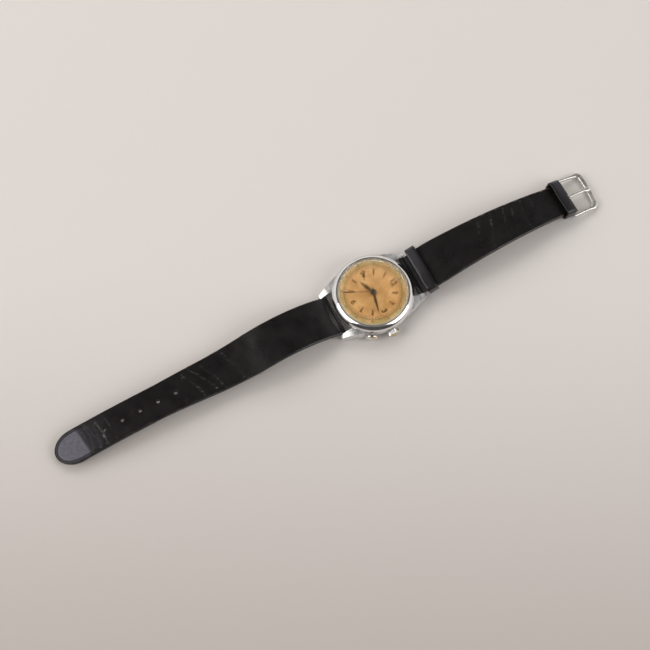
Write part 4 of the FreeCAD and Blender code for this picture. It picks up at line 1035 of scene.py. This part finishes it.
def make_buckle():
    """A bent frame: two slim sides, soft corners and a heavier bowed far bar."""
    centre_side, far = 8.6, BUCKLE_REACH - 1.25
    corner, taper = 2.0, 0.45
    line = []
    for step in range(12):
        share = step / 11
        line.append((centre_side - taper * share, -0.9 + (far - corner + 0.9) * share))
    for step in range(1, 10):
        turn = math.pi / 2 * step / 10
        line.append((centre_side - taper - corner + corner * math.cos(turn),
                     far - corner + corner * math.sin(turn)))
    edge = line[-1][0]
    for step in range(1, 13):
        share = step / 12
        x = edge * (1 - share)
        line.append((x, far + 0.35 * (1 - (x / edge) ** 2)))
    mirrored = [(-x, y) for x, y in reversed(line[:-1])]
    line += mirrored
    centres, frames, sizes = [], [], []
    for number, (x, y) in enumerate(line):
        before = line[max(number - 1, 0)]
        after = line[min(number + 1, len(line) - 1)]
        tangent = Vector((after[0] - before[0], after[1] - before[1], 0)).normalized()
        side = Vector((tangent.y, -tangent.x, 0))
        heavy = steps(far - 4.5, far - 0.2, 0.0, 1.0, y)
        heavy = heavy * heavy * (3 - 2 * heavy)
        sizes.append((0.66 + 0.6 * heavy, 0.82 + 0.1 * heavy))
        centres.append(Vector((x, y, 0)))
        frames.append((side, Vector((0, 0, 1))))
    points, faces = sweep(centres, frames, oval(2.6, 24), False, sizes)
    place = buckle_place()
    points = [place @ point for point in points]
    item = piece("buckle_frame_polished", points, faces, "buckle_steel", "buckle_frame",
                 ("buckle_frame",))
    sharpen(item, 60)
    make_tongue(place)


def make_tongue(place):
    """A round prong that flattens and widens where it lies on the far bar."""
    centres, frames, sizes = [], [], []
    rows = 40
    for step in range(rows):
        share = step / (rows - 1)
        y = 0.9 + (BUCKLE_REACH - 0.45 - 0.9) * share
        z = 0.72 + 0.62 * share + 0.22 * math.sin(math.pi * share)
        centres.append(Vector((0, y, z)))
        frames.append((Vector((1, 0, 0)), Vector((0, 0, 1))))
        tip = steps(0.72, 0.82, 0.0, 1.0, share)
        close = steps(0.965, 1.0, 1.0, 0.45, share)
        sizes.append(((0.56 + 0.34 * tip) * close, (0.5 - 0.1 * tip) * close))
    points, faces = sweep(centres, frames, oval(2.2, 20), False, sizes)
    points = [place @ point for point in points]
    item = piece("buckle_tongue_polished", points, faces, "buckle_steel", "buckle_tongue",
                 ("buckle_tongue",))
    loop = rounded([(0.66, -0.8), (1.0, -0.8), (1.0, 0.8), (0.66, 0.8)], 0.12, 3)
    ring = []
    for number in range(40):
        angle = 2 * math.pi * number / 40
        for radius, x in loop:
            ring.append(place @ Vector((x, radius * math.cos(angle), radius * math.sin(angle))))
    merge(item, ring, grid_faces(40, len(loop), True, True))
    sharpen(item, 60)


# ---------------------------------------------------------------- case pieces

def make_bezel():
    low, high = node_box("bezel")
    outer, top, bottom = high.x, high.z, low.z
    glass = node_box("crystal")[1].x
    seat = node_box("crystal")[0].z
    profile = [(15.92, bottom), (outer - 0.05, bottom), (outer, bottom + 0.06),
               (outer, bottom + 0.45)]
    profile += bend_points((outer, bottom + 0.45), (glass + 0.32, top - 0.03), 3.6, 16)
    profile += [(glass + 0.32, top - 0.03), (glass + 0.22, top), (glass + 0.1, top),
                (glass + 0.05, top - 0.06), (glass + 0.05, seat), (13.95, seat), (13.95, 7.02),
                (13.99, 7.0), (15.92, 7.0)]
    item = lathe("bezel_polished", profile, 192, "polished_case", "case", ("bezel",))
    sharpen(item, 35)


def make_crystal():
    """A domed acrylic with real thickness and a rounded shoulder."""
    low, high = node_box("crystal")
    outer, top, seat = high.x, high.z, low.z
    shoulder = 9.3
    profile = [(outer, seat), (outer, shoulder - 0.62), (outer - 0.04, shoulder - 0.5),
               (outer - 0.4, shoulder - 0.05), (outer - 0.55, shoulder + 0.06)]
    profile += bend_points((outer - 0.6, shoulder + 0.09), (0.0, top), 43.8, 26)
    profile += [(0.0, top), (0.0, top - 0.9)]
    profile += bend_points((0.0, top - 0.9), (outer - 0.95, shoulder - 0.5), -48.7, 22)
    profile += [(outer - 0.5, shoulder - 0.8), (outer - 0.42, shoulder - 1.0),
                (outer - 0.4, seat)]
    item = lathe("crystal_dome", profile, 160, "crystal", "case", ("crystal",))
    sharpen(item, 50)


def make_crown():
    """A fluted crown: rounded ribs between fine grooves."""
    low, high = node_box("crown")
    start, end = low.x, high.x
    radius = high.y
    ribs = 26
    profile = [(0.0, start), (radius - 0.5, start), (radius - 0.3, start + 0.04),
               (radius - 0.02, start + 0.24), (radius, start + 0.32),
               (radius, (start + end) / 2), (radius, end - 0.6), (radius - 0.03, end - 0.5),
               (radius - 0.22, end - 0.32), (radius - 0.5, end - 0.2), (radius - 0.95, end - 0.1),
               (radius - 1.5, end - 0.03), (0.0, end)]

    def ripple(angle, ring):
        if ring < radius - 0.1:
            return ring
        return ring - 0.2 * (0.5 - 0.5 * math.cos(ribs * angle)) ** 1.6

    item = lathe("crown_fluted", profile, ribs * 10, "worn_case", "crown", ("crown",),
                 out_along(0, 3.5), ripple, False)
    sharpen(item, 40)


def make_push_piece():
    """The mushroom head, its neck and the stem that reaches the operating lever."""
    begin, cap, head = 18.25, 1.35, 2.7
    profile = [(0.0, 12.0), (0.45, 12.0), (0.45, 13.2), (0.6, 13.25), (0.6, begin + 0.3),
               (1.15, begin + 0.3), (1.15, begin - 0.15), (1.75, begin - 0.15), (1.75, begin),
               (head - 0.34, begin), (head - 0.12, begin + 0.06), (head, begin + 0.26),
               (head - 0.02, begin + 0.5), (head - 0.14, begin + 0.74),
               (head - 0.42, begin + 0.98), (head - 0.9, begin + 1.17),
               (head - 1.5, begin + 1.28), (head - 2.1, begin + cap - 0.02), (0.0, begin + cap)]
    item = lathe("push_piece_head", profile, 96, "worn_case", "push_piece", ("push_piece",),
                 out_along(-30, 3.5), None, False)
    sharpen(item, 40)


def soften_cad(name, width, degrees=28):
    """Round a CAD node's hard edges with modifiers; its own mesh stays as it is."""
    item = NODES[name]
    weld = item.modifiers.new("weld", "WELD")
    weld.merge_threshold = 1e-7
    bevel = item.modifiers.new("bevel", "BEVEL")
    bevel.width = width * MM
    bevel.segments = 3
    bevel.limit_method = "ANGLE"
    bevel.angle_limit = math.radians(degrees)
    bevel.harden_normals = False
    item.modifiers.new("normals", "WEIGHTED_NORMAL").keep_sharp = True
    return item


# ---------------------------------------------------------------- dial print and markers

DIAL_TOP = node_box("dial")[1].z
PRINT = 0.02


def plate_mesh(shapes, height, thick):
    """Flat outlines raised into thin plates: points and faces."""
    points, faces = [], []
    for shape in shapes:
        start, count = len(points), len(shape)
        points += [Vector((x, y, height)) for x, y in shape]
        points += [Vector((x, y, height + thick)) for x, y in shape]
        faces.append(tuple(range(start + count - 1, start - 1, -1)))
        faces.append(tuple(range(start + count, start + 2 * count)))
        for index in range(count):
            after = (index + 1) % count
            faces.append((start + index, start + after, start + count + after,
                          start + count + index))
    return points, faces


def clock(radius, turns, across=0.0):
    """A point at a share of a clockwise turn from 12 o'clock."""
    angle = math.pi / 2 - 2 * math.pi * turns
    return (radius * math.cos(angle) - across * math.sin(angle),
            radius * math.sin(angle) + across * math.cos(angle))


def tick(inner, outer, width, turns):
    return [clock(inner, turns, -width / 2), clock(outer, turns, -width / 2),
            clock(outer, turns, width / 2), clock(inner, turns, width / 2)]


def thin_ring(radius, width, parts=180):
    """A printed circle as short plates."""
    shapes = []
    for number in range(parts):
        first, last = number / parts, (number + 1) / parts
        shapes.append([clock(radius, first), clock(radius + width, first),
                       clock(radius + width, last), clock(radius, last)])
    return shapes


def make_print():
    """Minute ticks, fifth-second ticks and the two scale circles."""
    height = DIAL_TOP + 0.004
    shapes = []
    for number in range(300):
        turns = number / 300
        if number % 5 == 0:
            shapes.append(tick(11.05, 12.25, 0.16 if number % 25 == 0 else 0.12, turns))
        else:
            shapes.append(tick(11.7, 12.25, 0.07, turns))
    points, faces = plate_mesh(shapes, height, PRINT)
    piece("dial_minute_track", points, faces, "ink_brown", "case", (), False)
    points, faces = plate_mesh(thin_ring(12.28, 0.06) + thin_ring(10.98, 0.05), height, PRINT)
    piece("dial_track_circles", points, faces, "ink_brown", "case", (), False)
    shapes = [tick(12.42, 12.72, 0.07, (number + 0.5) / 120) for number in range(120)]
    points, faces = plate_mesh(shapes, height, PRINT)
    piece("dial_outer_scale", points, faces, "ink_olive", "case", (), False)
    shapes = [tick(10.55, 10.85, 0.09, number / 100) for number in range(27, 47)]
    points, faces = plate_mesh(shapes, height, PRINT)
    piece("dial_inner_scale", points, faces, "ink_red", "case", (), False)


def text_shell(words, size, place, thick, heavy=0.0):
    """Raised numerals: points and faces, with the text's middle at the placement."""
    curve = bpy.data.curves.new("numeral", "FONT")
    curve.body = words
    curve.size = size
    curve.align_x = "CENTER"
    curve.align_y = "CENTER"
    curve.extrude = thick / 2
    curve.bevel_depth = thick * 0.25
    curve.bevel_resolution = 1
    curve.offset = heavy
    curve.resolution_u = 6
    item = bpy.data.objects.new("numeral", curve)
    bpy.context.scene.collection.objects.link(item)
    bpy.context.view_layer.update()
    graph = bpy.context.evaluated_depsgraph_get()
    mesh = bpy.data.meshes.new_from_object(item.evaluated_get(graph))
    points = [place @ vertex.co for vertex in mesh.vertices]
    faces = [tuple(face.vertices) for face in mesh.polygons]
    bpy.data.objects.remove(item)
    bpy.data.curves.remove(curve)
    bpy.data.meshes.remove(mesh)
    return points, faces


def gather(shells):
    """Join several (points, faces) shells into one."""
    points, faces = [], []
    for more_points, more_faces in shells:
        start = len(points)
        points += more_points
        faces += [tuple(index + start for index in face) for face in more_faces]
    return points, faces


def dart(turns, inner, outer, near, far, height, rise):
    """A faceted marker with a ridge along its middle."""
    low = [clock(inner, turns, -near), clock(outer, turns, -far), clock(outer, turns, far),
           clock(inner, turns, near)]
    ridge = [clock(inner + 0.1, turns), clock(outer - 0.35, turns)]
    points = [Vector((x, y, height)) for x, y in low]
    points += [Vector((x, y, height + rise)) for x, y in ridge]
    faces = [(0, 3, 2, 1), (0, 1, 5, 4), (1, 2, 5), (2, 3, 4, 5), (3, 0, 4)]
    return points, faces


def make_markers():
    """Applied darts at the plain hours, upright numerals at 12, 3, 6 and 9."""
    height = DIAL_TOP + 0.002
    shells = []
    for hour in range(12):
        if hour % 3:
            shells.append(dart(hour / 12, 7.7, 10.3, 0.22, 0.58, height, 0.16))
    for words, hour in (("12", 0), ("3", 3), ("6", 6), ("9", 9)):
        x, y = clock(9.45, hour / 12)
        place = Matrix.Translation((x, y, height + 0.06))
        shells.append(text_shell(words, 3.2, place, 0.08, 0.12))
    points, faces = gather(shells)
    piece("hour_markers_applied", points, faces, "marker_gilt", "case", ("hour_markers",),
          False)


OUTER_NUMERALS = ((5, "5"), (10, "10"), (15, "15"), (20, "20"), (25, "25"), (30, "30"),
                  (35, "35"), (40, "40"), (45, "45"), (50, "50"), (55, "55"), (60, "60"))


def make_scale_numerals():
    """Small generic seconds numerals round the rim."""
    shells = []
    for second, words in OUTER_NUMERALS:
        turns = second / 60
        x, y = clock(13.0, turns)
        spin = -2 * math.pi * turns
        if 0.25 < turns < 0.75:
            spin += math.pi
        place = Matrix.Translation((x, y, DIAL_TOP + 0.014)) @ Matrix.Rotation(spin, 4, "Z")
        shells.append(text_shell(words, 0.95, place, 0.016, 0.03))
    points, faces = gather(shells)
    piece("dial_scale_numerals", points, faces, "ink_olive", "case", (), False)
    shells = []
    for number, words in ((18, "1"), (21, "2"), (24, "3")):
        turns = number / 60
        x, y = clock(10.1, turns)
        place = (Matrix.Translation((x, y, DIAL_TOP + 0.014))
                 @ Matrix.Rotation(-2 * math.pi * turns + math.pi, 4, "Z"))
        shells.append(text_shell(words, 0.8, place, 0.016))
    points, faces = gather(shells)
    piece("dial_inner_numerals", points, faces, "ink_red", "case", (), False)


# ---------------------------------------------------------------- hands

def blade(stations, height, thick):
    """A hand's blade along +Y: stations are (distance, half width), with a raised ridge."""
    points, faces = [], []
    for distance, half in stations:
        edge = height + thick * 0.35
        points += [Vector((-half, distance, height)), Vector((-half, distance, edge)),
                   Vector((0, distance, height + thick)), Vector((half, distance, edge)),
                   Vector((half, distance, height))]
    faces += grid_faces(len(stations), 5, False, True)
    faces.append((0, 1, 2, 3, 4))
    last = (len(stations) - 1) * 5
    faces.append((last + 4, last + 3, last + 2, last + 1, last))
    return points, faces


def hub(radius, bore, low, high):
    """A hand's turned centre with a small chamfer."""
    profile = rounded([(bore, low), (radius, low), (radius, high), (bore, high)], 0.05, 2)
    return lathe_points(profile, 64), grid_faces(64, len(profile), True, True)


def make_hands():
    hour_z = node_box("hour_hand")[0].z
    minute_z = node_box("minute_hand")[0].z
    sweep_z = node_box("sweep_seconds_hand")[0].z
    hour = [(-1.5, 0.28), (0.0, 0.42), (1.6, 0.5), (3.1, 0.78), (4.6, 0.55), (6.1, 0.26),
            (7.0, 0.05)]
    minute = [(-1.6, 0.24), (0.0, 0.36), (2.0, 0.42), (3.8, 0.58), (6.2, 0.36), (8.4, 0.18),
              (9.5, 0.04)]
    sweep_blade = [(-1.3, 0.2), (-0.6, 0.16), (0.0, 0.13), (4.0, 0.1), (8.0, 0.12), (9.2, 0.2),
                   (10.8, 0.21), (12.0, 0.12), (12.7, 0.04)]
    builds = (
        ("hour_hand_leaf", hour, hour_z, 0.13, (1.3, 0.66), 247.5, "bronze", "hour_work",
         "hour_hand"),
        ("minute_hand_leaf", minute, minute_z, 0.13, (1.02, 0.32), 104.0, "bronze",
         "minute_work", "minute_hand"),
        ("sweep_hand_needle", sweep_blade, sweep_z, 0.11, (1.15, 0.0), 205.5, "blued_steel",
         "chronograph_runner", "sweep_seconds_hand"),
    )
    for name, stations, low, thick, (radius, bore), reading, material, body, node in builds:
        shells = [blade(stations, low, thick)]
        if bore > 0:
            shells.append(hub(radius, bore, low - 0.005, low + thick + 0.03))
        else:
            cap = [(0.0, low - 0.01), (radius, low - 0.01), (radius, low + thick),
                   (radius - 0.12, low + thick + 0.1), (0.0, low + thick + 0.16)]
            shells.append((lathe_points(cap, 64), grid_faces(64, len(cap), True, False)))
        points, faces = gather(shells)
        turn = Matrix.Rotation(-math.radians(reading), 4, "Z")
        points = [turn @ Vector(point) for point in points]
        item = piece(name, points, faces, material, body, (node,))
        sharpen(item, 25)


# ---------------------------------------------------------------- CAD node materials

# main_plate takes the plate material with the painted shade spot under the aperture.
CAD_FINISHES = {"case_middle": "lug_metal", "main_plate": "plate_shade_spot"}


def paint_cad_nodes():
    """Every carried-over CAD node takes its own finish or the material of its slot."""
    for row in frame["record"]["subparts"]:
        item = NODES[row["node"]]
        item.data.materials.clear()
        name = CAD_FINISHES.get(row["node"], row["material_slot"])
        item.data.materials.append(MATERIALS[name])
        sharpen(item, 30)


# ---------------------------------------------------------------- set

AZIMUTH, ELEVATION = 61.7, 70.0
FRAME_WIDTH = 0.27
LENS, SENSOR = 110.0, 36.0
CENTRE_RIGHT, CENTRE_UP = 0.0200, 0.0137


def make_floor():
    """A pale warm sheet that the watch lies on; its colour is painted darker towards the camera side, as painted
    falloff of the light.
    """
    shader = Shader("floor_paper", (0.70, 0.655, 0.61), 0.0, 0.75)
    # Painted shade: the base colour darkens from 0.03 m beyond the centre to 0.19 m on the camera side, standing
    # in for the light falling off.
    away = shader.node("ShaderNodeVectorMath")
    away.operation = "DOT_PRODUCT"
    away.inputs[1].default_value = (-math.sin(math.radians(AZIMUTH)),
                                    math.cos(math.radians(AZIMUTH)), 0.0)
    shader.join(shader.place, away.inputs[0])
    spread = shader.node("ShaderNodeMapRange")
    spread.interpolation_type = "SMOOTHSTEP"
    spread.inputs["From Min"].default_value = -0.19
    spread.inputs["From Max"].default_value = 0.03
    shader.join(away.outputs["Value"], spread.inputs["Value"])
    shader.feed("Base Color", shader.ramp(spread.outputs["Result"], [
        (0.0, (0.46, 0.408, 0.38)), (1.0, (0.655, 0.612, 0.582))]))
    tooth = shader.noise(1100.0, 3.0)
    shader.bump(tooth, 1.5e-5, 0.15)
    bpy.ops.mesh.primitive_plane_add(size=6.0, location=(0, 0, 0))
    floor = bpy.context.object
    floor.name = "floor"
    floor.data.materials.append(shader.material)


def make_camera():
    """Looks down from the 4 o'clock side; the dial sits right of and above the middle."""
    azimuth, elevation = math.radians(AZIMUTH), math.radians(ELEVATION)
    back = Vector((math.sin(azimuth) * math.cos(elevation),
                   -math.cos(azimuth) * math.cos(elevation), math.sin(elevation)))
    right = Vector((math.cos(azimuth), math.sin(azimuth), 0))
    up = back.cross(right)
    target = Vector((0, 0, 0.008)) - right * CENTRE_RIGHT - up * CENTRE_UP
    distance = FRAME_WIDTH * LENS / SENSOR
    data = bpy.data.cameras.new("camera")
    data.lens = LENS
    data.sensor_width = SENSOR
    data.clip_start = 0.01
    camera = bpy.data.objects.new("camera", data)
    bpy.context.scene.collection.objects.link(camera)
    turn = Matrix((right, up, back)).transposed()
    camera.matrix_world = Matrix.Translation(target + back * distance) @ turn.to_4x4()
    bpy.context.scene.camera = camera
    return right, up, back


def softbox(name, away, height, distance, size, radiance, color):
    """A rectangular softbox: away is its direction in plan, height its elevation in degrees."""
    lift = math.radians(height)
    place = (away.normalized() * math.cos(lift) + Vector((0, 0, math.sin(lift)))) * distance
    data = bpy.data.lights.new(name, "AREA")
    data.shape = "RECTANGLE"
    data.size, data.size_y = size
    data.energy = radiance * math.pi * size[0] * size[1]
    data.color = color
    light = bpy.data.objects.new(name, data)
    bpy.context.scene.collection.objects.link(light)
    light.location = place
    light.rotation_euler = (-place).to_track_quat("-Z", "Y").to_euler()
    return light


def make_lights(right, up):
    """A broad soft key beyond the watch and a softbox on either side of the camera."""
    away = Vector((up.x, up.y, 0)).normalized()
    key = softbox("key", away - right * 0.3, 46.0, 1.05, (1.5, 0.7), 2.15, (1.0, 0.985, 0.965))
    key.visible_glossy = False
    softbox("left_box", -right - away * 0.42, 38.0, 1.1, (0.85, 0.8), 2.5, (1.0, 0.99, 0.97))
    softbox("right_box", right - away * 0.45, 39.0, 1.1, (0.8, 0.75), 2.5, (0.98, 0.99, 1.0))
    make_room(away)


def make_room(away):
    """A soft room: dark where the dial looks up to and behind the camera, pale elsewhere."""
    world = bpy.data.worlds.new("room")
    world.use_nodes = True
    tree = world.node_tree
    background = tree.nodes["Background"]
    place = tree.nodes.new("ShaderNodeTexCoord").outputs["Generated"]
    overhead = away * math.cos(math.radians(ELEVATION)) + Vector(
        (0, 0, math.sin(math.radians(ELEVATION))))
    shades = []
    for aim, pale_until, dark_from, dark in ((overhead, 0.5, 0.78, 0.1),
                                             (-away, 0.3, 0.72, 0.08)):
        across = tree.nodes.new("ShaderNodeVectorMath")
        across.operation = "DOT_PRODUCT"
        across.inputs[1].default_value = aim
        tree.links.new(place, across.inputs[0])
        spread = tree.nodes.new("ShaderNodeMapRange")
        spread.interpolation_type = "SMOOTHSTEP"
        spread.inputs["From Min"].default_value = pale_until
        spread.inputs["From Max"].default_value = dark_from
        spread.inputs["To Min"].default_value = 1.0
        spread.inputs["To Max"].default_value = dark
        tree.links.new(across.outputs["Value"], spread.inputs["Value"])
        shades.append(spread.outputs["Result"])
    product = tree.nodes.new("ShaderNodeMath")
    product.operation = "MULTIPLY"
    tree.links.new(shades[0], product.inputs[0])
    tree.links.new(shades[1], product.inputs[1])
    tree.links.new(product.outputs[0], background.inputs["Strength"])
    background.inputs["Color"].default_value = (0.90, 0.89, 0.88, 1.0)
    bpy.context.scene.world = world


make_floor()
picture_right, picture_up, _ = make_camera()
make_lights(picture_right, picture_up)
bpy.context.scene.view_settings.view_transform = "Standard"

paint_cad_nodes()
soften_cad("case_middle", 0.16)
make_bezel()
make_crystal()
make_crown()
make_push_piece()
make_print()
make_markers()
make_scale_numerals()
make_hands()
make_long_strap()
make_short_strap()
make_keepers()
make_buckle()
